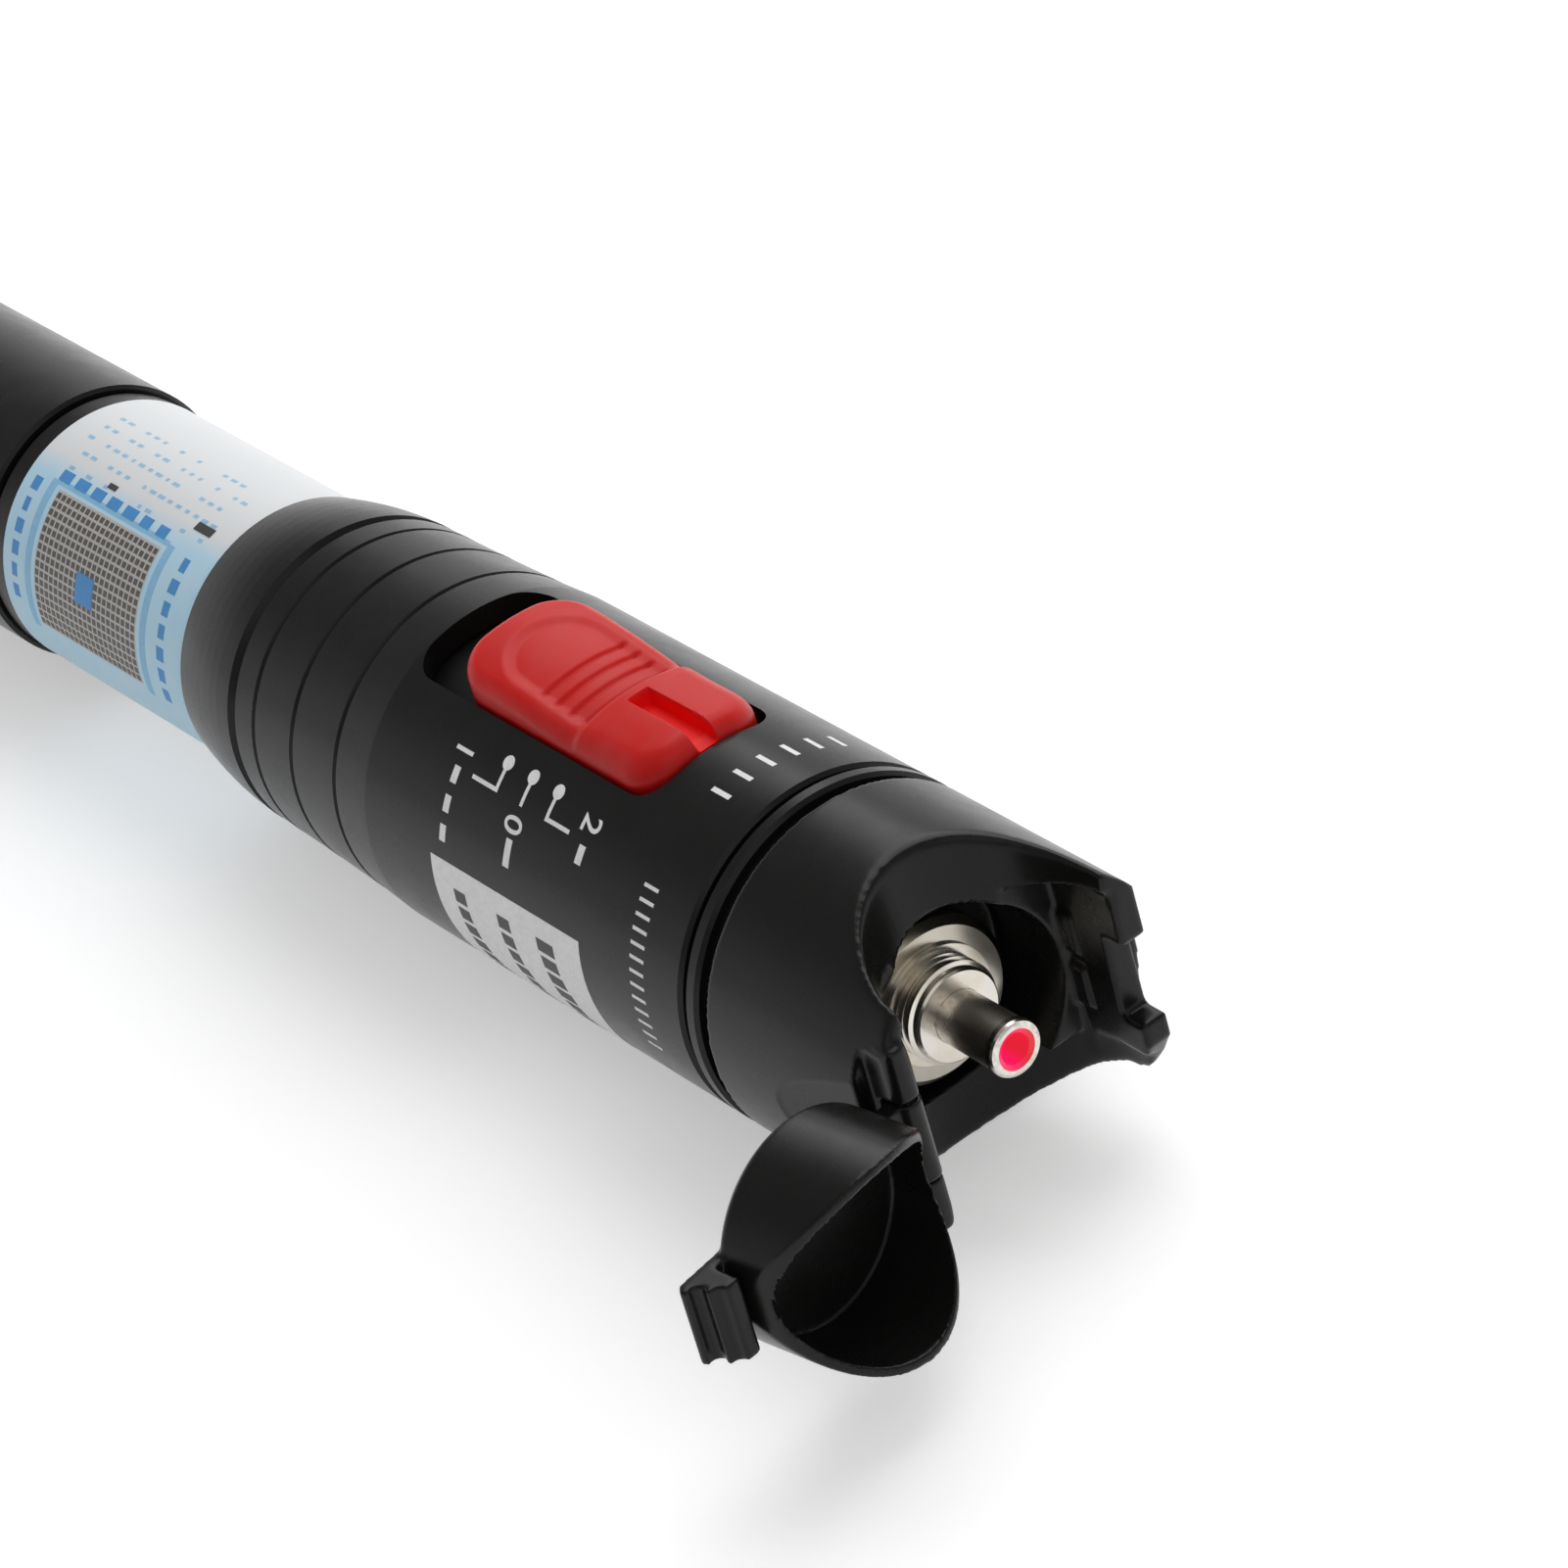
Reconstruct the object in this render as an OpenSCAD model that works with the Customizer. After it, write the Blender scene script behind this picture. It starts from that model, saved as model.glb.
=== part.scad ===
// Visual fault locator pen: a red laser in a battery pen, with a fibre port under a hinged dust cap.
// The pen's axis is X, with +X out of the fibre port. The origin is where the port's straight bore begins.
// The slider faces +Z and the cap's hinge is on the -Y side. Lengths are in millimetres.

/* [Body] */
// Radius of the main body and of the head
body_r = 14; // [13.6:0.1:17]
// Length of the body from its front edge to its rear lip
body_len = 60.7; // [58:0.1:75]
// Length of the tapered, ribbed grip at the rear of the body
grip_len = 20; // [16:0.1:24]
// How much narrower the body is at its rear lip
grip_fall = 0.75; // [0.5:0.05:1.2]
// Wall of the main body
body_wall = 2; // [1.6:0.05:2.2]

/* [Head] */
// From the port's mouth back to the joint between head and body
head_back = 18.65; // [18:0.05:22.4]
// How far the head's two lips stand past the port's mouth
lip_reach = 1.7; // [1.5:0.05:2.1]
// Radius of the head's round chamber, which the cap closes
chamber_r = 8.8; // [8.4:0.05:10.6]
// How much larger the scallops are than the chamber
scallop_step = 1.3; // [0.9:0.05:1.7]
// From the chamber's wall out to a lip's inner face
lip_step = 0.7; // [0.6:0.05:1]
// Thickness of a lip
lip_wall = 2.2; // [2:0.05:2.4]
// Width of the notch between a lip's two lugs
notch_w = 7.1; // [6:0.05:8.6]

/* [Fibre port] */
// Radius of the bore that takes a 2.5 mm ferrule
ferrule_r = 1.25; // [1.2:0.01:1.5]
// Wall of the ferrule holder
holder_wall = 1; // [0.9:0.01:1.2]
// Outer radius of the port's thread
thread_r = 4; // [3.6:0.05:4.8]
// Pitch of the port's thread
thread_pitch = 0.75; // [0.5:0.05:0.8]
// How much wider the port's round flange is than its neck
flange_step_out = 1.7; // [1.2:0.05:2]
// From the flange's front to the thread's front face
stub_len = 2.6; // [2.3:0.05:3.2]
// From the thread's front face to the mouth of the holder
holder_len = 6.55; // [5.6:0.05:7.9]

/* [Dust cap] */
// Radial gap between the cap and the chamber's edge
cap_fit = 0.1; // [0.05:0.01:0.4]
// Wall of the cap's sides
cap_wall = 0.8; // [0.7:0.05:1]
// Thickness of the cap's end plate
plate_t = 1.2; // [1:0.05:1.45]
// Height of the cap's sides at the hinge and at the latch
cap_side = 2.1; // [1.8:0.05:2.5]
// Height of the cap's two tongues
tongue_len = 9.9; // [9:0.05:10]
// How far the cap stands open, from closed, in degrees
cap_open = 170; // [100:1:172]

/* [Slider] */
// Length of the slider button
slider_len = 25.3; // [20:0.1:30.5]
// Width of the slot
slot_w = 12.3; // [10:0.1:14.8]
// How far the slider's top stands above the body
slider_rise = 1.9; // [1.2:0.1:2.4]
// How far the slider moves back, through its two steps
slider_travel = 5; // [4:0.1:6]

/* [Battery tube] */
// From the grip's rear lip in to the tube's outside
tube_step = 1.81; // [1.6:0.01:2]
// Wall of the battery tube
tube_wall = 1.4; // [1.2:0.05:1.5]
// Length of the tube that shows between the grip and the tail
tube_shown = 39.6; // [38:0.1:48]
// How much wider the tail is than the tube
tail_step = 0.5; // [0.4:0.02:1]
// Travel of the tail as it unscrews
unscrew = 8; // [6:0.1:9]
// Length of the label on the tube
label_len = 28; // [20:0.1:29]

/* [Cells] */
// Radius of an AA cell
cell_r = 7.1; // [7:0.05:7.25]
// Length of an AA cell, with its nub
cell_len = 50.4; // [49.2:0.1:60]

/* [Hidden] */
$fn = 96;

// General values
over = 0.5;         // how far a cut runs past the face that it opens
slip = 0.02;        // radial gap between round pieces that are fixed together
fit = 0.1;          // radial gap between round pieces that slide together
gap = 0.3;          // gap between pieces that must not touch
edge = 0.3;         // small chamfer on a turned edge
deep_edge = 0.6;    // larger chamfer on a turned edge

// Colours
black = [0.11, 0.11, 0.115];
dark = [0.06, 0.06, 0.065];
red = [0.75, 0.12, 0.1];
nickel = [0.78, 0.76, 0.72];
brass = [0.75, 0.6, 0.3];
steel = [0.62, 0.63, 0.65];
white = [0.93, 0.93, 0.9];
green = [0.1, 0.35, 0.2];

// Mouth of the port, with its chamfer in front of the straight bore
mouth_edge = 0.19;
mouth_x = mouth_edge;

// Joint between head and body: a ring whose band stands between two grooves
bore_r = body_r - body_wall;
groove_depth = 0.9;
groove_r = body_r - groove_depth;
band_w = 1.45;      // width of the ring's raised band
wide_groove = 1;    // groove between the band and the head
thin_groove = 0.5;  // groove between the band and the body
joint_x = mouth_x - head_back;
head_x = joint_x + wide_groove/2;
band_x = joint_x - wide_groove/2;
body_x = band_x - band_w - thin_groove;
spigot_step = 0.4;  // how much narrower the spigot is than the bore
spigot_r = bore_r - spigot_step;
spigot_wall = 1.2;
spigot_len = 1.5;   // how far the body's spigot enters the head

// Grip: the body's tapered and ribbed rear part
grip_x = body_x - body_len + grip_len;
rear_x = body_x - body_len;
grip_r = body_r - grip_fall;
rib_shares = [0.235, 0.555, 0.835, 1];   // places of the grooves along the grip, and of its end
rib_fall_shares = [0.4, 0.7, 0.9, 1];  // how far the radius has fallen there
rib_grooves = [0.5, 0.5, 0.5, 1.1];     // widths of the grooves
rib_depths = [0.35, 0.35, 0.35, 0.6];   // depths of the grooves
rest_flat = 0.1;    // depth of the narrow flat under the body, on which the pen lies still
collar_len = 9.5;   // length of the collar behind the last groove
collar_fall = 1.3;  // how much narrower the collar's end is
collar_steps = 8;
collar_bend = 1.8;  // how late the collar closes in

// Head
head_front = mouth_x + lip_reach;
lip_in = chamber_r + lip_step;
lip_out = lip_in + lip_wall;
lip_root = 7.15;            // length of the lips' flat inner faces
lip_flat_share = 0.9;       // half height of those faces, of their distance from the axis
scallop_out = 0.15;         // how far the upper scallop's centre lies in front of the lips
scallop_x = head_front + scallop_out;
low_scallop_in = 2.33;      // how far the lower scallop's centre lies behind the lips' front
low_scallop_r = 10.45;      // radius of the lower scallop at the body's surface
low_scallop_draft = 0.1;
scallop_r = chamber_r + scallop_step;
scallop_draft = 1.15;       // how much the scallop closes in from the outside to the chamber
scallop_low_share = 0.7;    // height at which the cut starts, of a lip's distance from the axis
socket_len = 2;             // depth of the head's socket over the body's spigot
bulkhead_x = head_x + socket_len;
bulkhead_t = 2.8;
seat_x = bulkhead_x + bulkhead_t;   // face that the port's flange sits on
rabbet = 2.45;              // length of the flat outside the near lip
rabbet_far = 5;             // length of the flat outside the far lip
notch_far = 2.2;            // depth of the notch that takes the latch
notch_near = 1.7;           // depth of the notch that takes the hinge
tip_back = 2.3;             // where the far lip's lower corner cut starts, behind the lips' front
tip_low = 9.5;              // and how far below the axis
tip_tilt = -60;             // its slope, in degrees
relief_tilt = 6;            // slope of the flat beside the hinge, in degrees
relief_len = 10;            // length of that flat behind the rabbet
pad_w = 3.6;                // width of the pads inside the far lip
pad_l = 1.5;
pad_t = 0.35;
pad_apart = 1.2;
pad_back = 6.4;             // from the lips' front to the middle of the pads

// Hinge and cap
hinge_in = 0.1;     // from the lips' front back to the hinge's axis
hinge_x = head_front - hinge_in;
hinge_y = -(lip_in + lip_out)/2;
hinge_rise = 1.5;   // from the hinge's axis to the outer face of the closed cap
knuckle_r = 1.1;
pin_r = 0.5;
pin_fit = 0.05;     // radial gap of the pin in the knuckle
lug_h = 8.2;        // half of the height of the hinge's lugs
lug_w = 1.9;        // width of a lug
lug_out = 0.8;      // how far a lug stands out in front of the hinge's axis
lug_edge = 0.25;
pin_floor = 0.9;    // plastic left above the pin, which goes in from below
knuckle_gap = 0.1;  // end gap between the knuckle and a lug
arm_sink = 0.3;     // how far the knuckle's arm reaches behind the hinge's axis
closed_x = hinge_x + hinge_rise;
cap_r = chamber_r - cap_fit;
tongue_over = 0.05; // how much the tongues' radius is over the cap's
tongue_r = cap_r + tongue_over;
tongue_centre = tongue_len - tongue_r;
latch_fit = 0.25;   // gap beside the latch in its notch
latch_w = notch_w - 2*latch_fit;
latch_back = 3.4;   // how far the latch reaches behind the plate's outer face
latch_out = 3.6;    // how far the latch stands past the cap's side
latch_slant = 1.5;  // how much nearer the axis the latch is at its free end
latch_root = 1.1;   // thickness of the web that joins the latch to the plate
latch_sink = 0.2;   // how far that web starts inside the cap's radius
latch_slit = 0.6;   // gap between the latch and the cap's side
ridge_r = 0.62;     // radius of the hollows between the latch's ridges
ridge_pitch = 1.45;
ridge_in = 0.95;    // from the plate's outer face to the first ridge
ridge_share = 0.25; // how far a hollow's centre stands out, of its radius

// Fibre port
holder_r = ferrule_r + holder_wall;
stub_x = mouth_x - holder_len;
flange_x = stub_x - stub_len;
thread_depth = 0.45;
thread_turns = 3;
land_len = 0.6;         // plain length in front of the thread
land_r = thread_r - 0.32;
thread_edge = 0.16;
thread_top = 0.08;      // width of a thread's crest
thread_root_share = 0.6;
flange_rim = 0.7;       // how much wider the flange's step is than the thread
flange_step_r = thread_r + flange_rim;
flange_step = 0.35;     // height of that step
neck_over = 0.2;        // how much wider the neck is than the step
neck_r = flange_step_r + neck_over;
flange_r = neck_r + flange_step_out;
neck_len = 9.8;         // from the flange's back to the neck's end
light_r = 0.6;          // radius of the light path through the port
rim_len = 0.9;          // length of the rim at the holder's mouth
mouth_flare = 0.37;     // how much wider the mouth is than the bore
rim_edge = 0.3;         // rounding of the rim's outer edge
rim_in = 0.12;          // how much smaller the holder is behind its rim
sleeve_wall = 0.3;
sleeve_split = 0.4;
bore_depth = 5.2;       // depth of the ferrule's bore, down to the fibre stub
stub_in = 0.4;          // how much narrower the stub is than the ferrule
stub_r = ferrule_r - stub_in;
fibre_r = 0.3;
stub_body = 3;
holder_back = flange_x;
nut_wall = 1.5;         // from the neck to the nut's corners
nut_t = 1.8;

// Laser
housing_wall = 1.1;
housing_r = neck_r + housing_wall;
housing_len = 13;
housing_grip = 3.4;     // how far the housing reaches over the port's neck
neck_x = seat_x - neck_len;
housing_x = neck_x + housing_grip;
lens_r = 3.2;
lens_t = 1.8;
lens_in = 1;            // from the neck's end to the lens
ring_t = 1;
ring_in = 1.2;          // wall of the ring that holds the lens
can_r = 2.35;
can_base_r = 2.8;
can_len = 3.6;
can_base_t = 1.2;
lead_r = 0.23;
lead_circle_r = 1;
lead_angles = [90, 210, 330];
laser_seat_t = 3;
seat_flat = 0.3;        // from the housing up to the flat on top of its seat
housing_back = housing_x - housing_len;

// Slider and switch
slot_in = 9.6;          // from the body's front edge to the slot
slot_end_gap = 0.7;     // length that the slot has over the slider and its travel
slot_front = body_x - slot_in;
slot_back = slot_front - slider_len - slider_travel - slot_end_gap;
slot_corner = 2.6;
slider_side = 0.35;     // gap beside the slider in the slot
slider_w = slot_w - 2*slider_side;
slider_corner = slot_corner - slider_side;
slider_front = slot_front - gap;
slider_back = slider_front - slider_len;
slider_mid = (slider_front + slider_back)/2;
slider_top = body_r + slider_rise;
thumb_share = 0.56;     // middle of the thumb dish, from the slider's middle to its back end
dish_r = 17;
dish_deep = 0.75;
cross_rib_count = 4;
cross_rib_step = 1.05;
cross_rib_w = 0.4;
cross_rib_h = 0.25;
front_notch_share = 0.24;   // length of the front notch, of the slider's
front_notch_w = 2.3;
front_notch_d = 1.1;
shoe_lap = 0.5;         // how far the shoe reaches past the slot, at each end of its travel
shoe_side = 2;          // how far it reaches past the slot's sides
shoe_t = 1;
shoe_r = bore_r - gap;
shoe_front = slot_front + slider_travel + shoe_lap;
shoe_back = slot_back - shoe_lap;
shoe_w = slot_w + 2*shoe_side;
lever_w = 2;
lever_l = 2.6;
lever_x = slider_mid;
lever_low = 5.4;
board_t = 1.6;
board_w = 18;
board_in = 3.6;         // from the laser's back to the board
board_front = housing_back - board_in;
case_end = 3.7;         // length of the switch past the lever's travel, at each end
case_l = slider_travel + lever_l + 2*case_end;
case_w = 7;
case_h = 5;
case_wall = 0.8;
case_x = lever_x - slider_travel/2;
chip_l = 5;
chip_w = 4;
chip_h = 1.5;
small_l = 2;            // size of the small parts on the board
small_w = 1.25;
small_h = 0.6;
detent_t = 0.3;
rail_w = 2;
rail_h = 3.2;

// Battery tube, cells and tail
tube_r = grip_r - tube_step;
tube_bore = tube_r - tube_wall;
tube_clear = 2.6;       // from the shoe's rearmost place to the tube
tube_x = shoe_back - slider_travel - tube_clear;
tube_end = rear_x - tube_shown;
board_back_gap = 3;
board_back = tube_x + board_back_gap;
tail_r = tube_r + tail_step;
tail_gap = 0.6;
tail_x = tube_end - tail_gap;
thread_hold = 2;        // length of thread that still holds the tail after its travel
thread_seat = unscrew + thread_hold;
thread_relief = 0.8;    // length that the tail's threaded bore has over that
tube_thread_in = 0.45;  // from the tube's outside to the crests of its thread
tube_thread_r = tube_r - tube_thread_in;
tube_pitch = 1.25;
tube_thread_h = 0.5;
tube_thread_turns = 5;
seal_depth = 1.1;
seal_floor = tube_r - seal_depth;
seal_wire = 0.65;
seal_in = 1.6;          // from the tail's front edge to the middle of the seal
seal_x = tail_x - seal_in;
seal_room = 0.4;        // space beside the seal in its groove
thread_start = seal_x - seal_wire/2 - seal_room;
tail_bore_step = 0.35;
tail_bore = tube_bore + tail_bore_step;
tail_floor_t = 3;
tail_round = 1.6;
tail_round_share = 0.3;
label_t = 0.08;
label_in = 9.6;         // from the grip's lip to the label
insulator_t = 1.2;
contact_t = 0.5;
contact_r = 6.4;
front_contact_x = tube_x - insulator_t;
cell_front = front_contact_x - contact_t;
cell_mid = cell_front - cell_len;
cell_back = cell_mid - cell_len;
nub_r = 2.7;
nub_h = 1.4;
liner_fit = 0.15;
liner_room = 0.2;       // radial gap between a cell and the liner
liner_r = tube_bore - liner_fit;
liner_bore = cell_r + liner_room;
liner_shell = 0.7;
liner_ribs = 6;
liner_rib_w = 1.4;
liner_over = 1;         // how far the liner reaches past the cells
spring_len = 6;
tail_plate_x = cell_back - spring_len;
tail_floor_x = tail_plate_x - contact_t;
tail_end = tail_floor_x - tail_floor_t;
spring_r = 4.2;
wire_r = 0.4;
spring_turns = 4;
wire_sides = 6;
turn_steps = 10;
strip_w = 3;
strip_t = 0.4;
strip_lap = 4;          // how far the strip lies under the board

// Turns a profile of [radius, place along X] points about the pen's axis
module turned(points) rotate([0, 90, 0]) rotate_extrude() polygon(points);

// A round bar along X from x_low to x_high
module bar(r, x_low, x_high) translate([x_low, 0, 0]) rotate([0, 90, 0]) cylinder(r = r, h = x_high - x_low);

// A round tube along X from x_low to x_high
module pipe(r_out, r_in, x_low, x_high) difference() {
    bar(r_out, x_low, x_high);
    bar(r_in, x_low - over, x_high + over);
}

// A box given by its low and high corners
module block(low, high) translate(low) cube(high - low);

// An upright prism with round corners, as wide as w, from x_low to x_high and up to z_high
module round_prism(x_low, x_high, w, corner, z_high) {
    for (sy = [-1, 1], x = [x_low + corner, x_high - corner])
        translate([x, sy*(w/2 - corner), 0]) cylinder(r = corner, h = z_high);
    block([x_low + corner, -w/2, 0], [x_high - corner, w/2, z_high]);
    block([x_low, -w/2 + corner, 0], [x_high, w/2 - corner, z_high]);
}

// Profile of the ribbed grip from its front to its rear lip, with a groove before each rib
function rib_x(i) = grip_x - grip_len*rib_shares[i];
function rib_r(i) = body_r - grip_fall*rib_fall_shares[i];
function grip_points() = [for (i = [0:len(rib_shares) - 1]) each [
    [rib_r(i), rib_x(i) + rib_grooves[i]/2],
    [rib_r(i) - rib_depths[i], rib_x(i)],
    [rib_r(i), rib_x(i) - rib_grooves[i]/2]]];

// Profile of the collar, which closes in on the battery tube
function collar_points() = [for (i = [1:collar_steps]) let (t = i/collar_steps)
    [grip_r - collar_fall*pow(t, collar_bend), rear_x - collar_len*t]];

module front_body() color(black) difference() {
    turned(concat(
        [[spigot_r - spigot_wall, joint_x + spigot_len], [spigot_r - edge, joint_x + spigot_len],
         [spigot_r, joint_x + spigot_len - edge], [spigot_r, body_x], [body_r - edge, body_x],
         [body_r, body_x - edge], [body_r, grip_x]],
        grip_points(),
        collar_points(),
        [[tube_r + fit, rear_x - collar_len], [tube_r + fit, tube_x],
         [bore_r, tube_x + over], [bore_r, body_x - body_wall], [spigot_r - spigot_wall, body_x - body_wall]]));
    round_prism(slot_back, slot_front, slot_w, slot_corner, body_r + over);
    translate([rear_x, -body_r, -body_r - over]) cube([body_len + over, 2*body_r, over + rest_flat]);
}

module joint_ring() color(black) turned([
    [spigot_r + fit, body_x], [groove_r, body_x], [groove_r, band_x - band_w], [body_r - edge, band_x - band_w],
    [body_r, band_x - band_w + edge], [body_r, band_x - edge], [body_r - edge, band_x], [groove_r, band_x],
    [groove_r, head_x], [spigot_r + fit, head_x]]);

// A pad inside the far lip, on each side of the middle
module lip_pads() for (sz = [-1, 1])
    translate([head_front - pad_back, lip_in - pad_t, sz*(pad_apart + pad_w)/2])
        block([-pad_l/2, 0, -pad_w/2], [pad_l/2, pad_t + over, pad_w/2]);

// One scallop: an upright cone that closes in towards the chamber
module scallop(side, x, r, draft) {
    slope = draft/(body_r - chamber_r);
    low_z = lip_in*scallop_low_share;
    mirror([0, 0, side < 0 ? 1 : 0]) translate([x, 0, low_z])
        cylinder(r1 = r - slope*(body_r - low_z), r2 = r + slope*over, h = body_r + over - low_z);
}

// The head's solid, before its notches and bores
module head_shell() difference() {
    turned([[0, head_x], [body_r - edge, head_x], [body_r, head_x + edge], [body_r, head_front], [0, head_front]]);
    bar(chamber_r, seat_x, head_front + over);
    block([head_front - lip_root, -lip_in, -lip_in*lip_flat_share],
          [head_front + over, lip_in, lip_in*lip_flat_share]);
    scallop(1, scallop_x, scallop_r, scallop_draft);
    scallop(-1, head_front - low_scallop_in, low_scallop_r, low_scallop_draft);
    for (s = [[-1, rabbet], [1, rabbet_far]]) translate([0, s[0]*(lip_out + body_r/2), 0])
        block([head_front - s[1], -body_r/2, -body_r], [head_front + over, body_r/2, body_r]);
    translate([head_front - rabbet, relief_len*sin(relief_tilt) - body_r, 0]) rotate([0, 0, relief_tilt])
        block([-2*relief_len, -body_r, -body_r], [over, 0, body_r]);
    translate([head_front - tip_back, 0, -tip_low]) rotate([0, tip_tilt, 0])
        block([-over, 0, -body_r], [body_r, body_r, 0]);
}

module head_hood() color(black) difference() {
    union() {
        head_shell();
        for (z_low = [notch_w/2, -lug_h]) translate([hinge_x, hinge_y, z_low]) hull() {
            cylinder(r = lug_w/2, h = lug_h - notch_w/2);
            block([-knuckle_r, -lug_w/2, 0], [lug_out - lug_edge, lug_w/2, lug_h - notch_w/2]);
            block([0, lug_edge - lug_w/2, 0], [lug_out, lug_w/2 - lug_edge, lug_h - notch_w/2]);
        }
        lip_pads();
    }
    bar(neck_r + fit, joint_x, seat_x + over);
    bar(spigot_r + fit, joint_x, bulkhead_x);
    block([head_front - notch_far, 0, -notch_w/2], [head_front + over, body_r, notch_w/2]);
    block([head_front - notch_near, -body_r, -notch_w/2], [head_front + knuckle_r, 0, notch_w/2]);
    translate([hinge_x, hinge_y, -lug_h - over]) cylinder(r = pin_r, h = 2*lug_h - pin_floor + over);
}

// Outline of the port from its front face back along the thread
function thread_points() = [for (i = [0:thread_turns - 1]) let (x = stub_x - land_len - i*thread_pitch) each [
    [thread_r - thread_depth, x],
    [thread_r, x - thread_edge],
    [thread_r, x - thread_edge - thread_top],
    [thread_r - thread_depth, x - thread_pitch*thread_root_share]]];

module port_body() color(nickel) difference() {
    turned(concat([[0, stub_x], [land_r - thread_edge, stub_x], [land_r, stub_x - thread_edge],
        [land_r, stub_x - land_len]], thread_points(),
        [[thread_r - thread_depth, flange_x + flange_step], [flange_step_r, flange_x + flange_step],
         [flange_step_r, flange_x], [flange_r - deep_edge, flange_x], [flange_r, flange_x - deep_edge],
         [flange_r, seat_x], [neck_r, seat_x], [neck_r, neck_x], [0, neck_x]]));
    bar(light_r, neck_x - over, stub_x + over);
    bar(holder_r - rim_in + slip, holder_back, stub_x + over);
}

module ferrule_holder() color(nickel) difference() {
    turned([[0, holder_back], [holder_r - rim_in, holder_back], [holder_r - rim_in, mouth_x - rim_len],
            [holder_r, mouth_x - rim_len + rim_in], [holder_r, mouth_x - rim_edge],
            [holder_r - rim_edge*0.3, mouth_x - rim_edge*0.3], [holder_r - rim_edge, mouth_x], [0, mouth_x]]);
    bar(ferrule_r + sleeve_wall, -bore_depth, -rim_len);
    bar(ferrule_r, -rim_len - over, over);
    bar(stub_r + slip, -bore_depth - stub_body, -bore_depth + over);
    bar(light_r, holder_back - over, -bore_depth);
    turned([[0, 0], [ferrule_r, 0], [ferrule_r + mouth_flare, mouth_x], [ferrule_r + mouth_flare, mouth_x + over],
            [0, mouth_x + over]]);
}

// Ceramic sleeve that lines up the ferrule, split along its length
module split_sleeve() color(white) difference() {
    pipe(ferrule_r + sleeve_wall - slip, ferrule_r, -bore_depth, -rim_len);
    block([-bore_depth - over, -sleeve_split/2, 0], [0, sleeve_split/2, thread_r]);
}

// Ceramic stub at the bottom of the bore, which passes the light on
module fibre_stub() color("tomato") pipe(stub_r, fibre_r, -bore_depth - stub_body, -bore_depth);

module port_nut() color(brass) difference() {
    translate([bulkhead_x - nut_t, 0, 0]) rotate([0, 90, 0]) cylinder(r = neck_r + nut_wall, h = nut_t, $fn = 6);
    bar(neck_r + slip, bulkhead_x - nut_t - over, bulkhead_x + over);
}

module laser_housing() color(brass) difference() {
    bar(housing_r, housing_back, housing_x);
    bar(neck_r + slip, neck_x, housing_x + over);
    bar(lens_r + slip, housing_back + can_base_t, neck_x + over);
    bar(can_base_r + slip, housing_back - over, neck_x);
}

module focus_lens() color("lightblue") bar(lens_r, neck_x - lens_in - lens_t, neck_x - lens_in);

module lens_ring() color(steel)
    pipe(lens_r, lens_r - ring_in, neck_x - lens_in - lens_t - ring_t, neck_x - lens_in - lens_t);

module laser_diode() color(brass) {
    bar(can_r, housing_back + can_base_t, housing_back + can_len);
    bar(can_base_r, housing_back, housing_back + can_base_t);
    for (a = lead_angles) rotate([a, 0, 0]) translate([0, lead_circle_r, 0])
        bar(lead_r, board_front + gap, housing_back);
}

// Plastic seat that centres the laser in the body, flat on top so that the shoe runs over it
module laser_seat() color(dark) difference() {
    pipe(bore_r - slip, housing_r + slip, housing_back + can_base_t, housing_back + can_base_t + laser_seat_t);
    block([housing_back, -body_r, housing_r + seat_flat], [housing_x, body_r, body_r]);
}

// The closed cap, drawn about its own axis, with its outer face at x = 0 and its hollow towards -X
module cap_cup() difference() {
    intersection() {
        turned([[0, -tongue_len], [cap_r, -tongue_len], [cap_r, -deep_edge], [cap_r - deep_edge, 0], [0, 0]]);
        union() {
            block([-cap_side, -cap_r - over, -cap_r - over], [over, cap_r + over, cap_r + over]);
            translate([-tongue_centre, 0, -cap_r - over]) cylinder(r = tongue_r, h = 2*(cap_r + over));
        }
    }
    bar(cap_r - cap_wall, -tongue_len - over, -plate_t);
}

// Latch at the far side of the cap: a slanted block with ridges for the thumbnail
module cap_latch() {
    inner = cap_r - latch_sink;
    outer = cap_r + latch_out;
    difference() {
        translate([0, 0, -latch_w/2]) linear_extrude(latch_w) polygon([
            [0, inner - latch_root], [0, outer - deep_edge], [-deep_edge, outer],
            [-latch_back, outer - latch_slant], [-latch_back, inner + latch_slit],
            [-latch_root, inner + latch_slit], [-latch_root, inner - latch_root]]);
        for (i = [0:1]) let (a = ridge_in + (i + 0.5)*ridge_pitch)
            translate([-a, outer - latch_slant*a/latch_back + ridge_r*ridge_share, -latch_w/2 - over])
                cylinder(r = ridge_r, h = latch_w + 2*over);
    }
}

// Knuckle of the cap on the hinge pin, with the arm that carries it
module cap_knuckle() {
    h = notch_w - 2*knuckle_gap;
    difference() {
        union() {
            translate([-hinge_rise, hinge_y, -h/2]) cylinder(r = knuckle_r, h = h);
            block([-hinge_rise - arm_sink, hinge_y, -h/2], [-deep_edge/2, 2*cap_wall - cap_r, h/2]);
        }
        translate([-hinge_rise, hinge_y, -notch_w]) cylinder(r = pin_r + pin_fit, h = 2*notch_w);
        bar(cap_r - cap_wall, -tongue_len, -plate_t);
    }
}

module dust_cap() color(black)
    translate([hinge_x, hinge_y, 0]) rotate([0, 0, -cap_open]) translate([-hinge_x, -hinge_y, 0])
        translate([closed_x, 0, 0]) {
            cap_cup();
            cap_latch();
            cap_knuckle();
        }

module hinge_pin() color(steel) translate([hinge_x, hinge_y, -lug_h])
    cylinder(r = pin_r, h = 2*lug_h - pin_floor - gap);

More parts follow.
